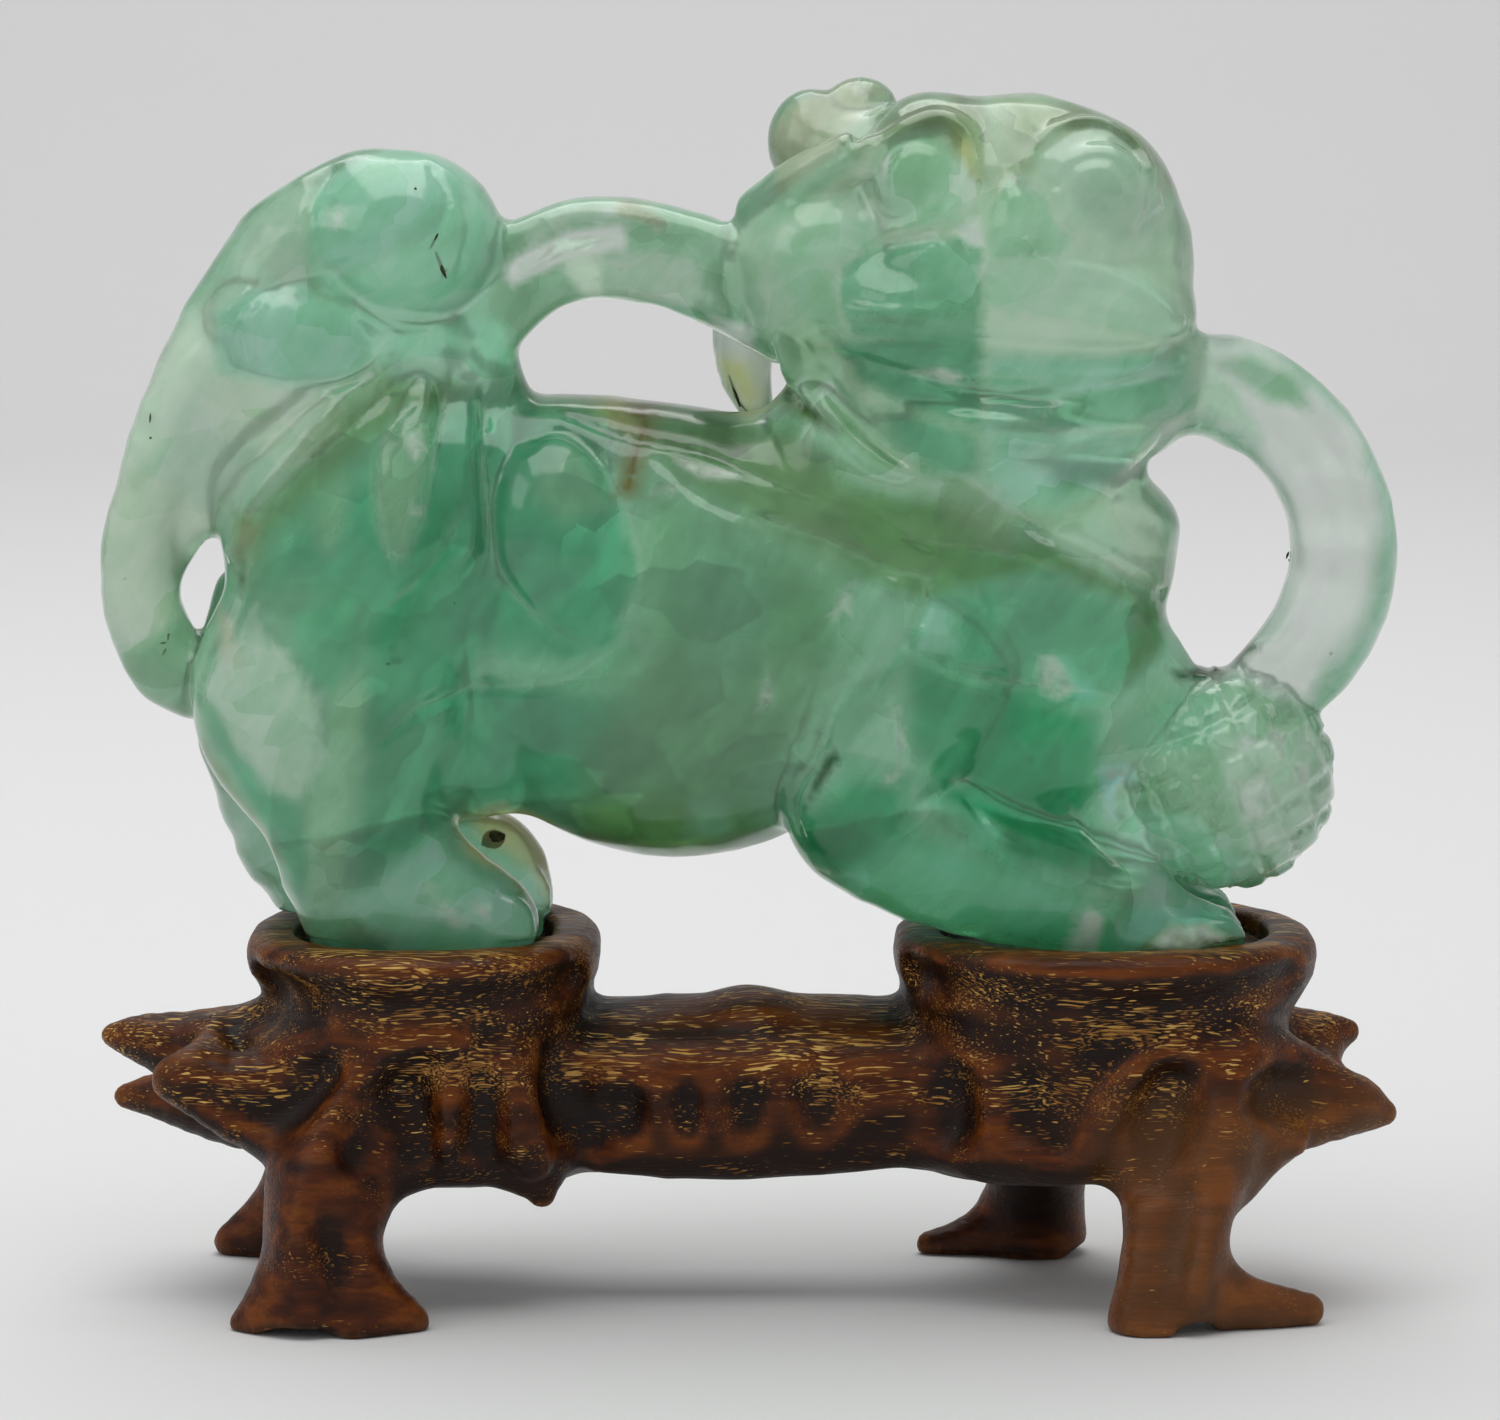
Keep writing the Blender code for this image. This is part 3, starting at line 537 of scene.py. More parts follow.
for weight, number in ((0.55, cluster), (0.15, upper), (-0.13, end_grain)):
    pore = add(rosewood, "ShaderNodeMath", TIMES_PLUS, in_0=number, in_1=weight, in_2=pore)
pore = add(rosewood, "ShaderNodeMapRange", SMOOTH, Value=pore, From_Min=1.06, From_Max=1.115)
pore_colour = add(
    rosewood, "ShaderNodeValToRGB", {"stops": [(0.35, "#a06d28"), (0.62, "#dcb060")]}, Fac=patches
)
ground = add(rosewood, "ShaderNodeMix", TINTED, out=2, in_0=pore, in_6=ground, in_7=pore_colour)
rosewood.node_tree.links.new(ground, shader.inputs["Base Color"])
sheen = add(
    rosewood, "ShaderNodeMapRange", SMOOTH, Value=fine, From_Min=0.3, From_Max=0.7, To_Min=0.32, To_Max=0.5
)
rosewood.node_tree.links.new(sheen, shader.inputs["Roughness"])
shader.inputs["IOR"].default_value = 1.5
shader.inputs["Specular IOR Level"].default_value = 0.22
relief = add(rosewood, "ShaderNodeMath", TIMES_PLUS, in_0=pore, in_1=-0.6, in_2=fine)
bump = add(rosewood, "ShaderNodeBump", Strength=0.35, Distance=0.0004, Height=relief)
rosewood.node_tree.links.new(bump, shader.inputs["Normal"])
stand_piece.data.materials.clear()
stand_piece.data.materials.append(rosewood)

# The foo dog
# One piece of green fluorite, ground with abrasives on small wheels and polished by hand.
# Thin places look pale and thick ones deep green, because the colour is in the stone and not on it.

DOG_PITCH = 0.6
DOG_TRIANGLES = 196_000
SOLES = 0.0               # the figure's own heights start at its soles
RIM = SEAT_DEPTH

dog = Carving((-92, -26, -3), (92, 27, 123), DOG_PITCH)

# Rump, thighs and hind legs
dog.ball((-47, 0, 60), (20, 17, 19))
for side in (-1, 1):
    dog.ball((-52, side * 6, 57), (20, 12, 22), blend=4)
    dog.ball((-57, side * 8, 36), (19.5, 12, 20), blend=4)
dog.limb([
    (-56, -10, 30, 13), (-54.5, -10, 18, 11.6), (-52.5, -10, 10, 10.4), (-51, -9.5, 4, 9.4),
], flat=0.8, blend=4)
dog.ball((-40, 0, 27), (13, 12, 9.6), blend=4)
dog.limb([(-50, -9.6, 14, 9.4), (-42, -9.6, 8.4, 8.6), (-36, -9.6, 5.6, 6.9)], flat=0.9, blend=3)
dog.limb([(-63, 9.5, 28, 14), (-61, 10.5, 15, 11.4), (-55.4, 10.5, 4, 8.8)], flat=0.75, blend=4)
dog.ball((-38.2, 10, 8), (10.6, 7.6, 10.2), blend=2)
for toe in (-13.6, -9.4, -5.2):
    dog.ball((-33.6, toe, 4.4), (4.9, 2.6, 5.4), blend=0.7)
for toe in (6.0, 9.8, 13.6):
    dog.ball((-31, toe, 5.0), (3.8, 2.4, 6), blend=0.7)

# Barrel, neck, chest, shoulders and forelegs
dog.ball((-10, 0, 43.5), (34, 20.5, 31), blend=4)
dog.limb([
    (-40, 0, 65, 11.5), (-20, 0, 65.6, 10.8), (-8, 0, 63.2, 10.6), (6, 0, 59, 11.4),
], flat=1.15, blend=3)
dog.ball((21, 0, 62), (25, 18, 18), blend=5)
dog.ball((11, 0, 70), (9, 14, 11), blend=2)
dog.limb([(-47, 0, 75, 8), (-37, 0, 78, 6.4)], blend=4)
dog.limb([(-74.6, 0, 64, 4.6), (-78.6, 0, 56, 3.2), (-81, 0, 51, 2.6)], blend=1.0)
dog.limb([(-70.4, 0, 49.5, 3.2), (-71.6, 0, 43, 3.8)], blend=1.5)
dog.ball((41, -1, 53.8), (17.6, 17, 15.4), blend=3)
for side in (-1, 1):
    dog.ball((18.3, side * 7, 43.5), (20.6, 13, 19.5), blend=5)
    dog.ball((-26, side * 9, 57.5), (10.5, 10, 15), lean=-8, blend=0.8)
dog.ball((36, 0, 31), (21, 14.5, 17), blend=3)
dog.ball((51, 0, 17), (10, 11, 9), blend=3)
dog.limb([(44, -1, 44, 12), (50, -1, 37, 11), (56.5, -1, 29, 10)], flat=1.1, blend=3)
dog.both([
    (20, -9.5, 40, 15), (16.6, -10.5, 28, 12.6), (15.8, -10.5, 20.8, 11.3), (25, -10.5, 15.2, 10.6),
    (34.7, -10.5, 11.1, 9.2), (46, -10, 8, 7.8), (54, -9.5, 6, 6.6),
], flat=0.85, blend=3)
for side in (-1, 1):
    dog.ball((57, side * 9.5, 3.2), (10.2, 7.6, 6), blend=2)
    for toe in (5.6, 9.6, 13.6):
        dog.ball((64, side * toe, 2.6), (4.2, 2.4, 4.2), blend=0.8)

# Tail plume with its curl
dog.limb([
    (-72, 1, 36, 6), (-79.5, 0, 39, 5.8), (-83.4, 0, 47, 5.5), (-83.6, 0, 56, 5.5), (-81.8, 0, 62, 5.7),
    (-77.2, 0, 73, 7.2), (-69.6, 0, 84.6, 8.2), (-61.4, 0, 95.6, 9.3), (-52, 0, 100.6, 9.4),
], flat=1.1, blend=2)
dog.ball((-57, 0, 75), (21.4, 12, 26), blend=4)
dog.ball((-47.4, -1, 98.2), (13.8, 13, 11.9), blend=1.5)
for side in (-1, 1):
    dog.ball((-62.4, side * 7.5, 85), (11.5, 6, 6.8), lean=20, blend=1.5)
for lock in (
    [(-52, 79, 1.6), (-58, 72, 3.0), (-65, 64, 3.0), (-70, 56, 1.2)],
    [(-44, 78, 1.0), (-45.8, 70, 3.0), (-46.4, 61, 2.6), (-47.8, 52, 0.8)],
    [(-38.5, 78, 1.0), (-38.6, 68, 2.4), (-38.0, 59, 1.6), (-40, 54, 0.8)],
):
    dog.line(lock, proud=0.3, blend=1.5)
    dog.line(lock, sides=(1,), proud=0.12, blend=3)

# Head, mane and ear
dog.ball((36, -1, 94.2), (24.8, 19, 23.6), blend=3)
dog.ball((10.4, 0, 93.5), (13.0, 15.5, 14.5), blend=3)
for jowl, width in ((23.5, 15.5), (47.5, 13.4)):
    dog.ball((jowl, -8.2, 88), (width, 12, 8), blend=3)
    dog.ball((jowl, -5, 79), (width, 12, 12), blend=3)
dog.ball((36, -7, 73), (22.4, 12, 8), blend=2)
dog.ball((35.8, -6, 67.5), (17.9, 11, 9), blend=2)
dog.limb([(1.4, -3, 101.6, 3.4), (7, -7, 105.6, 3.8), (14, -10, 109.6, 3.6)], blend=1.5)
dog.ball((8.7, 4, 110.4), (6.3, 6.4, 7.6), blend=1.5)
dog.ball((15.2, 5, 115.2), (5.2, 5, 4.5), blend=1)
dog.ball((15, 3, 108), (9, 9, 8), blend=2)
dog.limb([(-0.2, 11, 90, 5.4), (-0.7, 11.6, 80, 4.2), (0.6, 11.6, 74.8, 2.9)], blend=1)
for row, height in enumerate((106, 94, 82)):
    for curl in range(4):
        x, z = 12 + 12 * curl + 4 * (row % 2), height - 2 * abs(curl - 1.5)
        dog.ball((x, dog.skin(x, z, 1) - 4.6, z), (6.8, 6, 6.6), blend=2.0)

# Ribbon from the tail into the mouth and from the mouth down to the ball
dog.strap([
    (-41, -2, 81, 6.0), (-34.4, 0, 89.8, 6.6), (-28, 0, 95, 6.9), (-21.2, 0, 96.3, 6.9), (-14.4, 0, 96, 6.9),
    (-6.2, -1, 93.8, 6.9), (2, -4, 89.4, 6.6), (10.4, -8, 84.2, 5.2),
])
dog.strap([
    (54, -9.5, 79, 4.6), (60.5, -6, 78.6, 6.6), (66.5, -2, 77, 7.2), (73.6, 0, 72.6, 7.2),
    (79.4, 0, 64.8, 7.2), (81.7, 0, 55.2, 7.2), (80.2, 0, 46.9, 7.2), (76, 0, 39.9, 7.0), (69.8, 0, 34, 6.2),
])
dog.line([(4.5, 84, 1.8), (8.6, 77, 2.8), (13, 71.6, 3.0), (18, 68.2, 2.4), (22.4, 67, 1.0)], proud=0.5)
dog.facets(9.0, 0.5, 3)
dog.facets(4.2, 0.16, 5)

dog.ball((46, -4, 62.5), (13, 12, 6), lean=20, blend=4)

# Raised parts of the face: eyes, brows, nose and lips, all low
dog.ball((24.5, -4, 108.2), (9, 10, 9.6), blend=3)
dog.boss(22.6, 106.4, (5.6, 3.4, 5.3), 0.9)
dog.ball((46.4, -4, 104.0), (10.0, 12, 9.6), blend=3)
dog.boss(47.2, 104.6, (7.0, 4.2, 6.8), 1.0)
for brow in (
    [(15.2, 107.4, 1.0), (18.7, 111.3, 1.5), (24.9, 114.0, 1.8), (28.9, 112.4, 1.6), (30.5, 107.6, 1.0)],
    [(37.4, 109, 1.0), (41, 112.2, 1.5), (47, 113.2, 1.7), (52.4, 109.6, 1.5), (54.6, 103.4, 1.0)],
):
    dog.line(brow, proud=0.4, blend=1.2)
dog.line([(35.5, 107.1, 1.0), (35.7, 103.1, 2.6), (36.0, 98.8, 4.2)], proud=0.3, blend=1.0)
dog.line([(9.5, 84.4, 1.0), (24, 82.6, 2.0), (40, 81.2, 2.0), (57, 82.2, 1.4)], proud=0.35, blend=1.0)
dog.line([(30, 96, 1.4), (43, 95.4, 2.0), (52, 92, 2.0), (57.4, 87.4, 1.0)], proud=0.3, blend=1.2)

# Cut lines, a fine wheel's width, that part the face, the collar, the flank, the legs and the tail
for cut in (
    [(17.9, 105.4, 0.6), (18.5, 109.7, 0.7), (22.2, 112.0, 0.7), (26.3, 110.2, 0.7), (27.5, 106.5, 0.6),
        (25.7, 103.3, 0.5)],
    [(6.1, 98.0, 0.5), (12.6, 98.6, 0.8), (20.0, 98.0, 0.9), (26.0, 100.2, 0.8), (30.0, 98.8, 0.5)],
    [(30.8, 108.2, 0.5), (30.7, 103.5, 0.7), (30.9, 97.5, 0.6)],
    [(35.5, 107.9, 0.5), (39.0, 104.2, 0.8), (42.2, 99.9, 0.9), (44.6, 96.8, 0.6)],
    [(39.3, 110.7, 0.6), (43.3, 113.6, 0.8), (48.9, 113.2, 0.8), (53.1, 108.7, 0.8), (54.0, 103.4, 0.7),
        (52.5, 99, 0.6)],
    [(40.9, 106.0, 0.5), (44.6, 109.4, 0.7), (48.9, 109.4, 0.7), (51.3, 106.0, 0.6)],
    [(34.4, 95.8, 0.6), (43.3, 96.6, 0.9), (50.6, 95.0, 1.0), (56.1, 91.1, 0.9), (58.1, 87.4, 0.6)],
    [(32.0, 91.8, 0.5), (42.5, 90.3, 0.7), (52.2, 86.7, 0.7), (57.5, 84.8, 0.5)],
    [(12.5, 93.8, 0.5), (16.9, 97.0, 0.8), (24.6, 98.8, 0.8), (30.6, 95.9, 0.5)],
    [(12.9, 91.1, 0.4), (21.3, 90.8, 0.6), (30.2, 91.4, 0.5)],
    [(8.9, 86.5, 0.6), (16.6, 87.3, 1.0), (24.7, 86.4, 1.1), (31.2, 84.8, 1.2), (39.2, 84, 1.2),
        (50.6, 83.6, 1.2), (58.6, 84.7, 0.9)],
    [(9.3, 83.1, 0.7), (15.6, 82.3, 0.8), (21.3, 80.6, 0.8), (31.2, 78.2, 0.7), (44.2, 77.7, 0.6),
        (57.2, 80.4, 0.6)],
    [(21.4, 77.3, 0.5), (32.1, 76.3, 1.0), (44.3, 74.9, 1.1), (56.6, 74.1, 0.9)],
    [(57.1, 73.3, 0.8), (55.1, 69.5, 0.9), (51.0, 65.6, 0.9), (46.1, 62.3, 0.8), (40.2, 59.7, 0.6)],
    [(2.1, 102.5, 0.6), (7.3, 106.9, 0.9), (13.0, 110.9, 0.8), (18.1, 115.0, 0.6)],
    [(6.0, 85.0, 0.6), (10.2, 79.3, 0.9), (14.8, 74.0, 1.0), (18.6, 70.6, 0.9), (22.6, 67.4, 0.5)],
    [(2.5, 84.0, 0.6), (6.0, 76.7, 0.9), (10.3, 72.0, 1.0), (14.8, 67.6, 1.0), (19.4, 65.9, 0.7)],
):
    dog.line(cut, proud=0.68, cut=True, blend=0.9)
for cut in (
    [(19.4, 65.8, 0.6), (23.4, 66.7, 0.9), (28.9, 66.7, 1.0), (33.5, 63.2, 1.2), (39, 59.8, 1.2),
        (47, 56, 1.2), (52.9, 52.2, 1.1), (56.6, 49.8, 0.8)],
    [(15.0, 63.2, 0.5), (23.4, 58.2, 0.8), (32.2, 56.8, 0.8), (42.3, 53.7, 0.5)],
    [(-12.7, 69.2, 0.6), (-6.0, 64.1, 0.9), (2.5, 60.7, 1.0), (10.8, 58.3, 1.1), (18.3, 54.9, 1.2),
        (24.2, 52.8, 1.2), (22.3, 47.2, 1.2), (20.1, 44.4, 1.0), (16.8, 39.6, 0.8)],
    [(-24.9, 74.5, 0.5), (-16.9, 71.8, 0.7), (-6.1, 69.7, 0.8), (1.9, 66.6, 0.7), (12.7, 63.0, 0.5)],
    [(21.3, 44.9, 0.9), (28.4, 41.0, 1.0), (36.9, 38.1, 1.2), (45.3, 37.2, 1.1), (49.6, 36.3, 0.8)],
    [(14.0, 41.1, 0.6), (10.8, 34.7, 0.9), (9.0, 29.3, 1.2), (6.3, 25.3, 1.3), (5.5, 21.1, 1.2),
        (7.3, 16.6, 0.8)],
    [(29.9, 22.7, 0.4), (33.7, 17.7, 0.7), (40.4, 14.3, 0.8), (47.2, 11.3, 0.7), (54.0, 10.3, 0.5)],
    [(45.4, 36.1, 0.4), (42.4, 29.7, 0.6), (43.6, 21.5, 0.6), (49.6, 13.5, 0.5)],
    [(-35.5, 77.5, 0.6), (-35.9, 69.1, 0.8), (-34.3, 55.6, 0.9), (-31.0, 49.9, 0.9), (-27.2, 46.3, 0.8),
        (-23.1, 43.8, 0.6)],
    [(-30.2, 71.3, 0.5), (-25.2, 72.4, 0.7), (-20.5, 69.2, 0.8), (-17.2, 63.7, 0.9), (-14.7, 54.6, 0.9),
        (-16.6, 49.0, 0.7), (-20.1, 45.2, 0.5)],
    [(-50.8, 47.5, 0.6), (-47.1, 50.6, 0.8), (-41.4, 56.4, 0.9), (-38.3, 62.1, 0.6)],
    [(-49.6, 31.2, 0.6), (-44.5, 35.4, 1.0), (-38.0, 37.4, 1.1), (-25.4, 39.1, 1.1), (-16.5, 44.8, 0.7)],
    [(-45.0, 76.7, 0.4), (-49.4, 72.0, 0.7), (-50.0, 63.5, 0.9), (-48.9, 57.1, 0.8), (-47.8, 51.4, 0.5)],
    [(-40.9, 76.7, 0.5), (-42.0, 72.0, 0.7), (-43.0, 63.9, 0.8), (-44.1, 59.8, 0.8), (-47.6, 51.4, 0.5)],
    [(-48.7, 78.2, 0.6), (-55.9, 71.8, 0.9), (-63.3, 65.0, 1.0), (-67.7, 60.9, 0.8)],
    [(-71.5, 85.1, 0.6), (-69.5, 88.5, 0.9), (-66.5, 91.1, 1.0), (-61.1, 92.9, 1.1), (-57.1, 93.3, 1.1),
        (-52.1, 89.4, 1.2), (-46.8, 86.8, 1.1), (-40.6, 87.6, 0.9), (-35.6, 91.1, 0.6)],
    [(-56.3, 107.7, 0.6), (-59.1, 103.2, 0.8), (-59.3, 98.6, 0.9), (-57.3, 94.0, 0.9), (-51.7, 96.1, 1.0),
        (-43.2, 98.6, 1.1), (-40.4, 103.2, 0.9), (-42.9, 107.9, 0.6)],
    [(-39.0, 105.1, 0.4), (-37.5, 99.8, 0.7), (-39.0, 93.7, 0.5)],
    [(-68.4, 89.4, 0.4), (-70.9, 83.7, 0.7), (-70.2, 80.7, 0.5)],
    [(-66.3, 90.2, 0.4), (-69.0, 84.8, 0.7), (-68.5, 80.7, 0.5)],
    [(-63.9, 91.2, 0.4), (-66.6, 85.6, 0.6), (-66.4, 81.3, 0.4)],
    [(-70.2, 80.5, 0.6), (-61.3, 79.1, 1.0), (-54.2, 79.7, 1.1), (-50.5, 82.6, 0.8), (-52.9, 86.9, 0.5)],
    [(-74.7, 36.1, 0.6), (-73.2, 41.5, 0.9), (-69.5, 48.4, 0.9), (-68.0, 55.2, 0.6)],
):
    dog.line(cut, proud=0.55, cut=True, blend=0.6)
    dog.line(cut, sides=(1,), proud=0.32, cut=True, blend=2.2)

# Brocade ball with its slanting net of grooves
BALL_MIDDLE = (65.3, -1.5, 23.8)
BALL_RADIUS = 15.7
NET_PITCH = 4.6
NET_DEPTH = 0.75
reach = BALL_RADIUS + 3
cuts, x, y, z = dog.window([c - reach for c in BALL_MIDDLE], [c + reach for c in BALL_MIDDLE])
tilt = math.radians(25)
across = (x - BALL_MIDDLE[0]) * math.cos(tilt) + (z - BALL_MIDDLE[2]) * math.sin(tilt)
upward = -(x - BALL_MIDDLE[0]) * math.sin(tilt) + (z - BALL_MIDDLE[2]) * math.cos(tilt)
away = np.sqrt((x - BALL_MIDDLE[0]) ** 2 + (y - BALL_MIDDLE[1]) ** 2 + (z - BALL_MIDDLE[2]) ** 2)
net = 0.0
for measure in (across, upward):
    off = np.abs((measure + NET_PITCH / 2) % NET_PITCH - NET_PITCH / 2)
    net = np.maximum(net, np.clip(1.0 - off / 0.9, 0.0, 1.0))
dog.merge(cuts, away - BALL_RADIUS + NET_DEPTH * net, 0.6, False)

# The feet are ground flat, and to fit inside the cups
cuts, x, y, z = dog.window((-92, -26, -3), (92, 27, 123))
dog.depth = np.maximum(dog.depth, SOLES - z)
low_part = z < RIM + 0.3
outline = np.minimum(*(oval_distance(x - m, y, a, b) for m, a, b in (HIND_SOLE, FRONT_SOLE)))
dog.depth = np.where(low_part, np.maximum(dog.depth, outline), dog.depth).astype(np.float32)
dog_piece, dog_stretch, dog_shift = piece_from(
    "foo_dog_carving", dog, "foo_dog", DOG_TRIANGLES, {"standing_out": dog.trowel(1.6)},
)

# Tints of the growth zones, from nearly black green to clear, then the iron's yellows and browns, and the
# teal of a painted glint
STONE_TINTS = {
    "bottle": "#204820", "deep_green": "#34a26e", "sea_green": "#4eaa7e", "leaf_green": "#54ae84",
    "grass_green": "#64985c", "moss": "#6c9664", "jade": "#66ba8e", "dusty_green": "#78ae8c",
    "dull_green": "#6ca278", "sage": "#8ca070", "grey_mint": "#86b892", "mint": "#88cca4",
    "bright_mint": "#80dcb2",
    "soft_mint": "#9eceaa", "pale_mint": "#aedcba", "cool_mint": "#a8e2c6", "ice": "#b4eed0",
    "clouded": "#c4e0ca", "pale_cloud": "#d0e8ce", "cool_cloud": "#d2f2da", "milk": "#e4fae4",
    "clear": "#fafcfa", "smoke": "#aeb494", "ash": "#c0ccac", "straw": "#b4bc76",
    "amber": "#fcfca8", "rust": "#74600f", "gold_brown": "#486812", "cream": "#fce4b4",
    "blush": "#ccc8b0", "painted_teal_glint": "#b4fcfc",
}
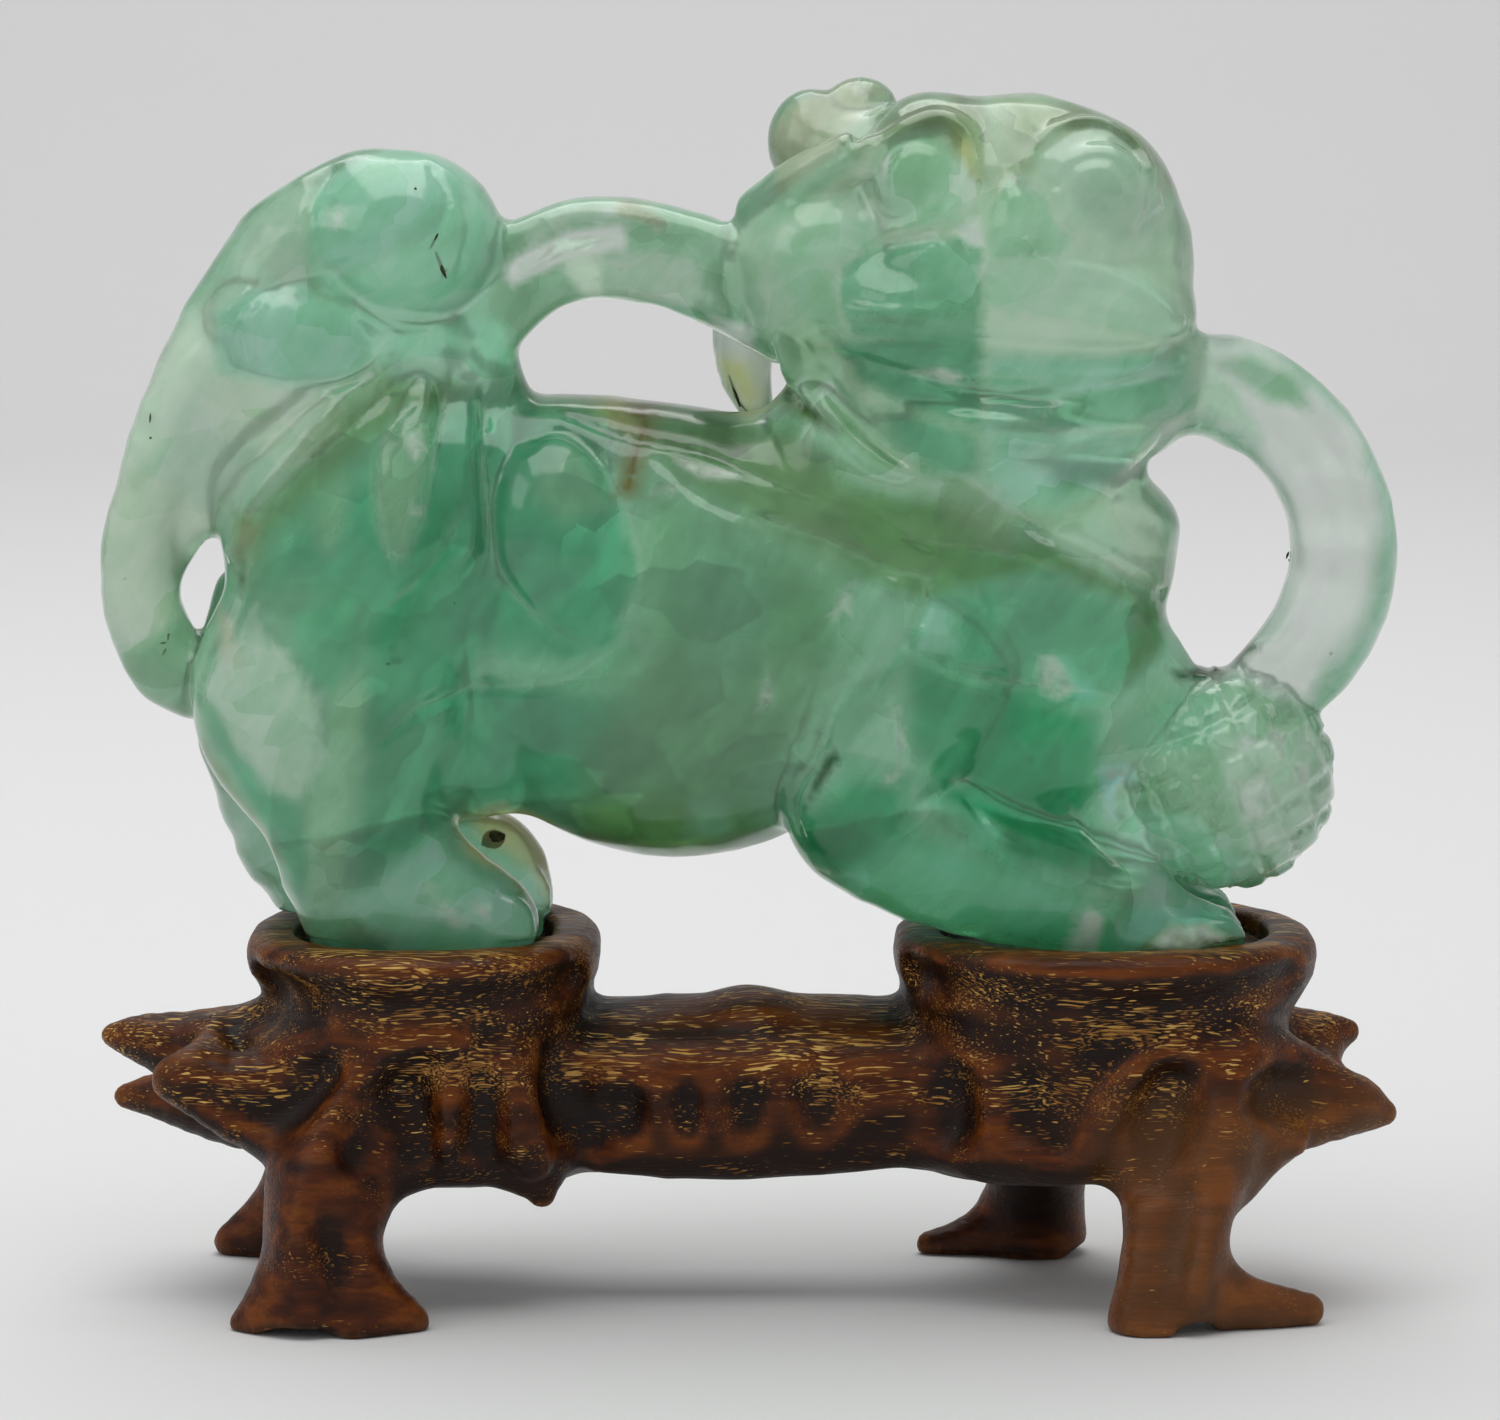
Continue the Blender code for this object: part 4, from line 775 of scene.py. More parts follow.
# Where the crystal grew greener or paler, at any depth: softness of its edge in mm, tint, outline in (x, z)
GROWTH_ZONES = (
    # Tail and its curl
    (3, "pale_mint", ((-88, 65), (-84, 79), (-74, 91), (-60, 106), (-44, 111), (-33, 103), (-33, 86),
        (-44, 78), (-66, 63), (-78, 49), (-76, 32), (-88, 38), (-89, 54))),
    (1, "pale_cloud", ((-88, 67), (-80, 66), (-72, 60), (-79, 51), (-79, 44), (-86, 41), (-89, 49))),
    (1, "soft_mint", ((-86, 41), (-79, 45), (-72, 48), (-71, 35), (-76, 31), (-83, 34))),
    (1.4, "milk", ((-73, 91), (-69, 86), (-73, 80), (-77, 74), (-81, 68), (-87, 65), (-84, 76),
        (-79, 84))),
    (1, "clouded", ((-77, 74), (-72, 79), (-62, 72), (-63, 67), (-70, 59), (-73, 60), (-80, 66))),
    (0.6, "pale_cloud", ((-72, 79.3), (-62.5, 78.4), (-55, 76.6), (-53.7, 72.9), (-57.5, 69.5),
        (-63.2, 67.9), (-65.7, 70.9), (-71.4, 71.1), (-74.6, 76.3))),
    (1.2, "clouded", ((-60, 106), (-59, 100), (-60, 92), (-68, 88), (-73, 91), (-67, 100))),
    (0.8, "cool_mint", ((-58.6, 104.5), (-53.4, 108.8), (-44.6, 110.4), (-38.3, 107.7), (-35.1, 101.4),
        (-41.3, 98), (-48.1, 96.7), (-54.2, 93.3), (-59.5, 95.6))),
    (0.8, "ice", ((-59.5, 95), (-54.2, 93), (-48.1, 96.4), (-41.3, 97.7), (-35.1, 101), (-33.6, 95),
        (-36.6, 88.8), (-44.1, 86.9), (-50.9, 88.3), (-56.9, 91))),
    (1, "ice", ((-39, 107), (-35, 103), (-34, 97), (-36, 90), (-38, 97))),
    (1.2, "ice", ((-57, 90), (-44, 86), (-36, 88), (-33, 86), (-31, 80), (-43, 78), (-49, 80), (-54, 85))),
    (0.8, "cool_mint", ((-72.3, 88.3), (-66.4, 91.5), (-60.3, 91.9), (-54.3, 87.5), (-50.6, 84.5),
        (-53.4, 80.1), (-62.5, 78.5), (-71.8, 80.4))),
    # Rump, tail locks, hip and flank
    (2.2, "moss", ((-63, 66), (-56, 76), (-49, 80), (-40, 79), (-39, 76), (-50, 71), (-56, 65), (-66, 56),
        (-70, 59))),
    (1.2, "sage", ((-70, 62), (-66, 60), (-63, 50), (-67, 48), (-70, 54))),
    (3, "leaf_green", ((-56, 65), (-47, 72), (-31, 77), (-20, 76), (-20, 60), (-36, 44), (-57, 44),
        (-66, 49), (-68, 54))),
    (0.7, "grey_mint", ((-50.8, 66.8), (-48.9, 73.6), (-45.3, 76.9), (-42.6, 73.6), (-43.2, 64),
        (-46.4, 55.6), (-49.1, 56.1), (-50.4, 61.3))),
    (1.2, "grey_mint", ((-56, 65), (-54, 67), (-54, 60), (-57, 56), (-59, 60))),
    (0.8, "leaf_green", ((-40.8, 75), (-37.4, 76.3), (-36.1, 66.8), (-36.4, 58.6), (-39.6, 54.5),
        (-40.4, 65.4))),
    (3, "leaf_green", ((-54, 49), (-36, 54), (-18, 46), (-14, 37), (-20, 21), (-42, 21), (-50, 24),
        (-57, 38))),
    (1.4, "deep_green", ((-43, 66), (-40, 63), (-40, 56), (-43, 49), (-50, 42), (-52, 45), (-47, 51),
        (-45, 57))),
    (0.9, "leaf_green", ((-29, 66.8), (-25.2, 70.9), (-21.1, 70.2), (-17.8, 62.7), (-14.8, 53.1),
        (-17.1, 49), (-18.2, 43.5), (-23.9, 43.2), (-30.7, 50.4), (-36.1, 57.2), (-33.4, 62.7))),
    (1.4, "grey_mint", ((-28, 68), (-24, 71), (-20, 68), (-19, 62), (-25, 61), (-29, 64))),
    (1, "mint", ((-36, 43), (-25, 42), (-16, 45), (-14, 37), (-20, 37), (-29, 38), (-38, 39))),
    # Barrel and belly
    (4, "dull_green", ((-14, 67), (5, 57), (13, 54), (14, 44), (7, 27), (3, 14), (-13, 12), (-25, 16),
        (-20, 32), (-14, 44))),
    (2.5, "dusty_green", ((-8, 60), (2, 54), (3, 46), (-4, 37), (-9, 44), (-11, 53))),
    (2, "grass_green", ((-25, 21), (-9, 24), (5, 21), (7, 15), (-6, 12), (-19, 13))),
    (1, "dusty_green", ((-8, 23), (-3, 24), (-2, 21), (-2, 16), (-9, 17))),
    (1.2, "dusty_green", ((-1, 27), (7, 30), (7, 17), (0, 14))),
    # Hind legs
    (2.5, "dusty_green", ((-74, 49), (-61, 54), (-52, 49), (-52, 27), (-55, 14), (-62, 13), (-69, 27),
        (-74, 35))),
    (1, "jade", ((-61, 48), (-54, 51), (-53, 44), (-56, 38), (-61, 41))),
    (0.5, "clouded", ((-71, 43.5), (-65.9, 46), (-61.1, 41.4), (-58.4, 36.6), (-57.3, 29.7), (-60.1, 24.5),
        (-61.2, 22.8), (-64.8, 24.2), (-69.1, 29.4), (-71.5, 34.5), (-73.6, 38))),
    (1.2, "blush", ((-72, 48), (-70, 46), (-69, 42), (-71, 41))),
    (1.4, "leaf_green", ((-74, 35), (-69, 29), (-64, 24), (-61, 23), (-58, 13), (-61, 9), (-63, 12),
        (-69, 23))),
    (1, "soft_mint", ((-57, 37), (-52, 41), (-51, 27), (-53, 17), (-55, 12), (-57, 7), (-60, 10),
        (-60, 23), (-57, 29))),
    (2, "sea_green", ((-51, 35), (-42, 27), (-42, 20), (-45, 13), (-53, 8), (-54, 16))),
    (1.4, "cool_mint", ((-47, 15), (-42, 17), (-35, 12), (-30, 8), (-30, 2), (-47, 1), (-54, 5),
        (-53, 10))),
    (0.9, "dusty_green", ((-62.2, 7.5), (-54.3, 7.3), (-50.2, 4.1), (-47.7, 0.9), (-60.5, 0.9))),
    (1, "cream", ((-40, 19), (-34, 21), (-28, 18), (-26, 12), (-28, 6), (-29, 8), (-33, 12), (-38, 15))),
    (0.8, "moss", ((-76.6, 31.1), (-73.9, 30.4), (-67.8, 21.4), (-63.1, 14.5), (-64.5, 14.5),
        (-70.6, 21.4), (-75.3, 26.2))),
    # Back, shoulder band and mane lock
    (2, "moss", ((-31, 78), (-20, 77), (-6, 76), (1, 73), (7, 73), (14, 65), (26, 60), (25, 52), (14, 54),
        (2, 60), (-8, 65), (-14, 70), (-21, 74), (-29, 76))),
    (1.3, "rust", ((-17, 76), (-12, 76), (-13, 72), (-14, 69), (-15, 64), (-18, 64), (-17, 69), (-15, 71),
        (-17, 74))),
    (0.7, "straw", ((-21.1, 76.9), (-16.8, 76.6), (-15.4, 72.2), (-19.1, 72.9))),
    (1.6, "grass_green", ((14, 65), (21, 64), (35, 63), (55, 51), (55, 48), (40, 54), (24, 50), (14, 55))),
    (0.8, "pale_mint", ((-0.1, 83.1), (7.4, 83.8), (11.5, 76.3), (18.3, 70.9), (24.4, 66.1), (20.3, 64.5),
        (14.2, 66.8), (7.4, 72.9), (2.6, 79))),
    (1.2, "gold_brown", ((0, 81), (3, 80), (9, 76), (12, 73), (7, 74), (3, 77))),
    # Neck, chest and forelegs
    (1.2, "deep_green", ((14, 76), (31, 76), (32, 67), (40, 59), (36, 60), (25, 67), (18, 72))),
    (1.6, "jade", ((24, 50), (40, 54), (52, 49), (56, 44), (50, 36), (38, 36), (25, 41), (22, 44))),
    (0.7, "cool_mint", ((24.4, 50.4), (28.5, 49), (27.9, 43.5), (21.7, 43.5))),
    # Painted sheen: the chest's glint, tinted bright mint
    (0.8, "bright_mint", ((39.5, 42.1), (42.2, 42.1), (47.7, 36.6), (46.3, 35.6), (40.2, 36.6))),
    (1, "grass_green", ((52, 50), (57, 48), (56, 42), (51, 38), (52, 45))),
    (2.2, "deep_green", ((21, 43), (29, 40), (48, 34), (48, 30), (47, 19), (49, 12), (35, 14), (25, 23),
        (21, 32))),
    (1.4, "deep_green", ((35, 32), (46, 30), (44, 21), (43, 14), (35, 17), (29, 24))),
    (0.8, "dusty_green", ((21.1, 43.5), (23.1, 48.3), (21.7, 42.1), (18.3, 36.6), (12.9, 29.7),
        (10.4, 25.6), (7.2, 21.4), (7.4, 26.9), (11.3, 35.2), (14.2, 39.4))),
    (0.6, "bottle", ((9.9, 29), (11.8, 30.4), (12.2, 29), (8.5, 22.8), (7.2, 21.4))),
    (2, "deep_green", ((7, 21), (14, 27), (21, 26), (22, 14), (12, 11), (6, 17))),
    (2.2, "bright_mint", ((13, 12), (22, 19), (35, 14), (46, 10), (43, 1), (28, 1), (18, 6))),
    (1, "bright_mint", ((30, 21), (34, 19), (36, 14), (35, 14), (31, 17))),
    (1.2, "bright_mint", ((40, 9), (53, 8), (66, 8), (68, 1), (43, 1))),
    (0.6, "clear", ((45.6, 7.8), (47.9, 6.8), (47.6, 0.6), (42.9, 0.6))),
    (0.7, "sage", ((53.4, 2.7), (56.8, 5.4), (62.3, 5.4), (67.2, 3.4), (66.5, 1.3), (52.8, 1.3))),
    # Ball and the ribbon's loop
    (1.4, "soft_mint", ((50, 32), (57, 37), (66, 39), (76, 35), (81, 26), (77, 12), (68, 8), (55, 14),
        (50, 23))),
    (1, "ice", ((50, 17), (53, 21), (59, 21), (68, 14), (68, 9), (60, 8), (53, 12))),
    (0.8, "clouded", ((64.1, 29.7), (74.4, 32.5), (79.2, 29), (80, 21.4), (74.6, 15.2), (69.1, 15.9),
        (64.2, 22.8))),
    (0.8, "mint", ((49.8, 31.8), (57.3, 36.6), (64.1, 36.6), (62.8, 29.7), (55.3, 29), (51.9, 29))),
    # Painted highlight: a teal glint on the ball, not a growth zone
    (0.5, "painted_teal_glint", ((47.8, 26.2), (51.5, 27.2), (52.8, 24.9), (49.6, 23.5), (49.9, 19.3),
        (48.2, 22.8))),
    (2, "clear", ((60, 84), (70, 84), (82, 72), (86, 60), (84, 46), (76, 35), (69, 38), (73, 46), (74, 60),
        (68, 71), (60, 76))),
    (0.8, "cool_cloud", ((56.2, 83.1), (61.6, 83.8), (63.6, 80.4), (67.1, 76.3), (69.9, 70.9),
        (64.4, 73.6), (58.9, 76.3))),
    (0.9, "pale_mint", ((62.3, 81.8), (68.4, 82.8), (73.8, 79), (76.6, 75), (69.8, 76.3))),
    (1, "clear", ((76, 77), (82, 72), (86, 60), (85, 49), (81, 41), (83, 52), (82, 63), (80, 71))),
    (1, "clear", ((65, 41), (74, 44), (78, 42), (77, 35), (70, 37))),
    (0.6, "bottle", ((57.2, 39.6), (62, 39.6), (68.8, 42.8), (69.9, 41.8), (64.1, 37.7), (58.2, 38))),
    # The ribbon's arch
    (2, "soft_mint", ((-35, 98), (-25, 103), (-13, 104), (-1, 99), (7, 90), (2, 86), (-8, 90), (-20, 90),
        (-28, 83), (-32, 84))),
    (0.5, "clear", ((-32.5, 95), (-25.1, 98.7), (-17.2, 99.9), (-16.7, 96.7), (-25.1, 95), (-32.2, 91.5),
        (-33.2, 92.6))),
    (0.6, "clouded", ((-30.5, 98.7), (-24.4, 101.8), (-18.3, 102.6), (-18, 101.5), (-23.7, 100.4),
        (-29.8, 96.7))),
    (0.5, "milk", ((-25.1, 95.6), (-20, 96.1), (-20.1, 89.9), (-22.4, 90.2), (-24.4, 92.3))),
    (0.5, "clouded", ((-19.4, 95), (-14.3, 96.1), (-7.5, 95), (-3.7, 91.9), (-3.2, 88.8), (-14.3, 89.9),
        (-19.4, 90.2))),
    (0.5, "smoke", ((-17.9, 103.1), (-14.3, 102.9), (-10.9, 100), (-12.2, 99.1), (-14.3, 100.4),
        (-17.6, 101))),
    (1.4, "soft_mint", ((-8, 99), (2, 97), (13, 90), (14, 84), (5, 84), (-4, 90))),
    # Head and throat
    (4, "pale_cloud", ((-1, 97), (5, 105), (14, 114), (34, 118), (52, 116), (61, 98), (60, 84), (56, 65),
        (35, 60), (18, 71), (7, 82))),
    (1.2, "ash", ((2, 112), (6, 116), (14, 120), (20, 118), (15, 114), (9, 106), (4, 104))),
    (0.8, "soft_mint", ((4, 104.1), (12.1, 110.2), (16.5, 111.5), (12.8, 107.5), (6, 101.4), (1.3, 99.4))),
    (1.6, "sage", ((14, 110), (21, 117), (29, 118), (32, 116), (32, 106), (26, 113), (20, 112))),
    (1.4, "pale_mint", ((17, 110), (23, 113), (29, 109), (28, 101), (22, 100), (18, 102))),
    (1.6, "pale_mint", ((2, 97), (11, 103), (17, 101), (18, 97), (11, 95), (13, 86), (6, 88))),
    (0.8, "straw", ((27.6, 112.9), (29.6, 111.5), (31, 106.8), (29.2, 108.1), (27.6, 110.2))),
    (0.5, "mint", ((12.5, 95), (16.8, 97.3), (27.6, 99.1), (31.2, 97.6), (31.2, 85.1), (20.9, 85.1),
        (14.1, 85.8), (12.1, 89.9))),
    (0.8, "jade", ((11.4, 85.1), (31.2, 86.5), (31.3, 73.6), (21, 76.3), (14.2, 80.4))),
    (0.4, "clear", ((27.6, 99.9), (30.9, 101.8), (31.3, 98), (29, 98))),
    (1.6, "sage", ((34, 118), (45, 116), (53, 113), (59, 105), (55, 105), (48, 113), (41, 113),
        (35, 108))),
    (1.6, "clouded", ((40, 110), (48, 113), (55, 108), (56, 98), (48, 98), (42, 102))),
    (1.2, "ash", ((33, 116), (36, 115), (38, 108), (34, 107), (33, 103))),
    (0.6, "pale_mint", ((32.3, 103.1), (34.4, 106.1), (36.4, 107.2), (39.1, 104.1), (43.2, 98.7),
        (41.2, 96.4), (31.7, 96.4))),
    (0.8, "cool_cloud", ((31.4, 95.9), (42.5, 96.4), (52, 95), (57.5, 90.6), (58.9, 85.1), (48, 87.2),
        (31.5, 89.9))),
    (0.6, "milk", ((31.5, 89.9), (48, 86.9), (58.2, 84.7), (48, 83.4), (31.5, 83.8))),
    (1, "cool_mint", ((32, 83), (59, 83), (60, 76), (55, 74), (32, 74))),
    (0.6, "mint", ((46.7, 79), (56.2, 80.1), (56.9, 76.3), (50.8, 73.6), (38.6, 73.6), (41.3, 77))),
    (1.2, "cool_mint", ((32, 74), (55, 73), (51, 67), (41, 62), (35, 63), (32, 67))),
    (1.2, "jade", ((18, 76), (31, 73), (31, 67), (25, 67), (20, 71))),
    # Painted highlight: a near-white line along the chin's edge
    (0.7, "clear", ((55.6, 73.6), (60.3, 75.6), (56.3, 70.2), (50.9, 65.4), (50.2, 66.8))),
    (1.2, "pale_cloud", ((40, 59), (48, 64), (55, 64), (58, 54), (57, 49), (52, 52), (43, 56))),
    (0.7, "cool_cloud", ((41.4, 59.3), (47.5, 62), (49.6, 58.6), (55.1, 53.1), (51, 54.5), (42.8, 57.2))),
    # Hanging curl
    (0.8, "clear", ((-5.5, 87.5), (-0.1, 86.5), (3, 79.3), (2, 73.9), (-1, 73.6), (-4.1, 78.4))),
    (1.6, "amber", ((-4, 80), (-1, 80), (1, 75), (0, 74), (-2, 77))),
)
skin = dog_piece.data
skin_places = np.empty(len(skin.vertices) * 3, np.float32)
skin.vertices.foreach_get("co", skin_places)
skin_places = (skin_places.reshape(-1, 3) - dog_shift) / dog_stretch
warp = 0.15 * np.sin(skin_places[:, 1] * 0.45 + skin_places[:, 2] * 0.9)
warp = warp + 0.1 * np.sin(skin_places[:, 0] * 1.7)
skin_x, skin_z = skin_places[:, 0] + warp, skin_places[:, 2] + warp * 0.7


def inside(outline):
    """How far each corner of the skin lies inside an outline of (x, z), in millimetres, at any depth."""
    ring = np.array(outline)
    turned = np.zeros(len(skin_x), bool)
    away = np.full(len(skin_x), 99.0)
    for a, b in zip(ring, np.roll(ring, -1, axis=0)):
        dx, dz = skin_x - a[0], skin_z - a[1]
        step = b - a
        share = np.clip((dx * step[0] + dz * step[1]) / (step @ step), 0, 1)
        away = np.minimum(away, np.hypot(dx - share * step[0], dz - share * step[1]))
        rise = step[1] if abs(step[1]) > 1e-6 else 1e-6
        turned ^= ((a[1] > skin_z) != (b[1] > skin_z)) & (dx < step[0] * dz / rise)
    return np.where(turned, away, -away)


EDGE_WIDTH = 0.5          # the pale line that a sharp growth edge shows, in millimetres
EDGE_STRENGTH = 0.35
tints = np.tile(linear("#9cd0b0"), (len(skin_x), 1))
edges = np.zeros(len(skin_x))
for soft, tint_name, outline in GROWTH_ZONES:
    depth_in = inside(outline)
    share = np.clip(0.5 + depth_in / (2 * soft), 0, 1)
    tint = np.array(linear(STONE_TINTS[tint_name]))
    tints = tints * (1 - share[:, None]) + tint * share[:, None]
    edges *= 1 - share
    if soft <= 0.6:
        edges = np.maximum(edges, EDGE_STRENGTH * np.clip(1 - np.abs(depth_in + 0.2) / EDGE_WIDTH, 0, 1))
layer = skin.attributes.new("growth", "FLOAT_COLOR", "POINT")
layer.data.foreach_set("color", tints.astype(np.float32).ravel())

# Polished fluorite: low gloss glass with a faint milk of fine cracks, greener or paler from zone to zone,
# with white glints painted into its colour
fluorite, shader = new_material("polished_fluorite")
place = add(fluorite, "ShaderNodeTexCoord", out="Object")
tint = add(fluorite, "ShaderNodeAttribute", {"attribute_name": "growth"}, out="Color")
mottle = add(fluorite, "ShaderNodeTexNoise", Vector=place, Scale=150.0, Detail=4.0, Roughness=0.65)
slant = add(
    fluorite, "ShaderNodeMapping", {"vector_type": "TEXTURE"}, Vector=place,
    Rotation=(0.3, math.radians(-58), 0.2), Scale=(18 * MM, 9 * MM, 3.5 * MM),
)
growth = add(fluorite, "ShaderNodeTexNoise", Vector=slant, Scale=1.0, Detail=3.0, Roughness=0.6)
cleaved = add(
    fluorite, "ShaderNodeMapping", {"vector_type": "TEXTURE"}, Vector=place,
    Rotation=(0.5, math.radians(-35), 0.4), Scale=(11 * MM, 11 * MM, 8 * MM),
)
blocks = add(
    fluorite, "ShaderNodeTexVoronoi", {"distance": "CHEBYCHEV"}, out="Color", Vector=cleaved, Scale=1.0,
    Randomness=0.9,
)
block = add(fluorite, "ShaderNodeSeparateColor", Color=blocks)
for share, pattern, start, end, palest in (
    (0.5, mottle, 0.3, 0.7, "#d0d0d0"), (0.5, growth, 0.35, 0.65, "#d0d0d0"),
    (0.7, block, 0.0, 1.0, "#dadada"),
):
    greys = add(fluorite, "ShaderNodeValToRGB", {"stops": [(start, "#a0a0a0"), (end, palest)]}, Fac=pattern)
    tint = add(fluorite, "ShaderNodeMix", OVERLAID, out=2, in_0=share, in_6=tint, in_7=greys)
groove = add(fluorite, "ShaderNodeAttribute", {"attribute_name": "standing_out"}, out="Fac")
tint = wipe_colour(fluorite, tint, groove, -0.10, -0.5, 0.22, "#d8f0dd")
# Painted highlights: white glints and pale growth edges are painted into the colour where the glint attribute
# is set
painted_glint = add(fluorite, "ShaderNodeAttribute", {"attribute_name": "healed"}, out="Fac")
broken = add(
    fluorite, "ShaderNodeMapRange", SMOOTH, Value=mottle, From_Min=0.36, From_Max=0.6, To_Min=0.3, To_Max=0.95
)
painted_glint = add(fluorite, "ShaderNodeMath", TIMES, in_0=painted_glint, in_1=broken)
tint = add(fluorite, "ShaderNodeMix", TINTED, out=2, in_0=painted_glint, in_6=tint, in_7=linear("#f2faf2"))
fluorite.node_tree.links.new(tint, shader.inputs["Base Color"])
uneven = add(fluorite, "ShaderNodeBump", Strength=0.3, Distance=0.0003, Height=mottle)
fluorite.node_tree.links.new(uneven, shader.inputs["Normal"])
shader.inputs["Roughness"].default_value = 0.22
shader.inputs["IOR"].default_value = 1.434
shader.inputs["Transmission Weight"].default_value = 0.62
shader.inputs["Coat Weight"].default_value = 0.6
shader.inputs["Coat Roughness"].default_value = 0.06
absorb = add(fluorite, "ShaderNodeVolumeAbsorption", Color=linear("#8fe0b4"), Density=14.0)
fluorite.node_tree.links.new(absorb, fluorite.node_tree.nodes["Material Output"].inputs["Volume"])
dog_piece.data.materials.clear()
dog_piece.data.materials.append(fluorite)

# Inside the stone
# Healed fractures show as thin pale sheets a little under the surface, iron has stained some of them
# brown, and a few dark specks are shut in. They grew with the crystal and cannot be reached.


def sheet(outline, under, seed):
    """Corners and faces of a thin sheet in an outline of (x, z), leaning inward from under the near side."""
    chance = np.random.default_rng(seed)
    lean = chance.uniform(0.6, 1.1)
    lowest = min(z for _, z in outline)
    shape = bmesh.new()
    shape.faces.new([shape.verts.new((x, 0.0, z)) for x, z in outline])
    bmesh.ops.triangulate(shape, faces=shape.faces[:])
    bmesh.ops.subdivide_edges(shape, edges=shape.edges[:], cuts=5, use_grid_fill=True)
    shape.verts.ensure_lookup_table()
    for corner in shape.verts:
        x, _, z = corner.co
        near, far = dog.skin(x, z, -1), dog.skin(x, z, 1)
        deep = under + lean * (z - lowest) + chance.uniform(-0.2, 0.2)
        y = near + min(deep, abs(far - near) * 0.6)
        corner.co = (x + chance.uniform(-0.2, 0.2), y, z + chance.uniform(-0.2, 0.2))
    for corner in shape.verts[:]:
        if dog.depth_at(corner.co) > -0.35:
            shape.verts.remove(corner)
    shape.verts.index_update()
    points = [Vector(np.array(corner.co) * dog_stretch + dog_shift) for corner in shape.verts]
    faces = [[corner.index for corner in face.verts] for face in shape.faces]
    shape.free()
    return points, faces


def inclusions(name, outlines, under, material, seed):
    """All sheets of one kind as one piece."""
    points, faces = [], []
    for number, outline in enumerate(outlines):
        more, around = sheet(outline, under, seed + number)
        faces += [[i + len(points) for i in face] for face in around]
        points += more
    mesh = bpy.data.meshes.new(name)
    mesh.from_pydata(points, [], faces)
    mesh.shade_smooth()
    mesh.materials.append(material)
    piece = bpy.data.objects.new(name, mesh)
    bpy.context.scene.collection.objects.link(piece)
    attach(piece, "root")


# Metallic, so that a leaned sheet throws the light back as the trapped air in a crack does
healed, shader = new_material("healed_fracture")
place = add(healed, "ShaderNodeTexCoord", out="Object")
crackle = add(healed, "ShaderNodeTexVoronoi", {"feature": "DISTANCE_TO_EDGE"}, Vector=place, Scale=420.0)
mist = add(healed, "ShaderNodeTexNoise", Vector=place, Scale=160.0, Detail=4.0, Roughness=0.65)
whites = add(healed, "ShaderNodeValToRGB", {"stops": [(0.35, "#dfeee2"), (0.65, "#fbfdf8")]}, Fac=mist)
healed.node_tree.links.new(whites, shader.inputs["Base Color"])
seen = add(
    healed, "ShaderNodeMapRange", SMOOTH, Value=mist, From_Min=0.36, From_Max=0.6, To_Min=0.1, To_Max=0.8
)
cracks = add(
    healed, "ShaderNodeMapRange", SMOOTH, Value=crackle, From_Min=0.02, From_Max=0.10, To_Min=0.12, To_Max=0.0
)
seen = add(healed, "ShaderNodeMath", {"operation": "ADD"}, in_0=cracks, in_1=seen)
healed.node_tree.links.new(seen, shader.inputs["Alpha"])
shader.inputs["Metallic"].default_value = 1.0
shader.inputs["Roughness"].default_value = 0.5
shader.inputs["IOR"].default_value = 1.434

stained, shader = new_material("iron_stained_fracture")
place = add(stained, "ShaderNodeTexCoord", out="Object")
mist = add(stained, "ShaderNodeTexNoise", Vector=place, Scale=200.0, Detail=4.0, Roughness=0.65)
browns = add(stained, "ShaderNodeValToRGB", {"stops": [(0.35, "#94762a"), (0.6, "#bb9a4c")]}, Fac=mist)
stained.node_tree.links.new(browns, shader.inputs["Base Color"])
seen = add(stained, "ShaderNodeMapRange", SMOOTH, Value=mist, From_Min=0.36, From_Max=0.62, To_Max=0.5)
stained.node_tree.links.new(seen, shader.inputs["Alpha"])
shader.inputs["Metallic"].default_value = 1.0
shader.inputs["Roughness"].default_value = 0.6
shader.inputs["IOR"].default_value = 1.434

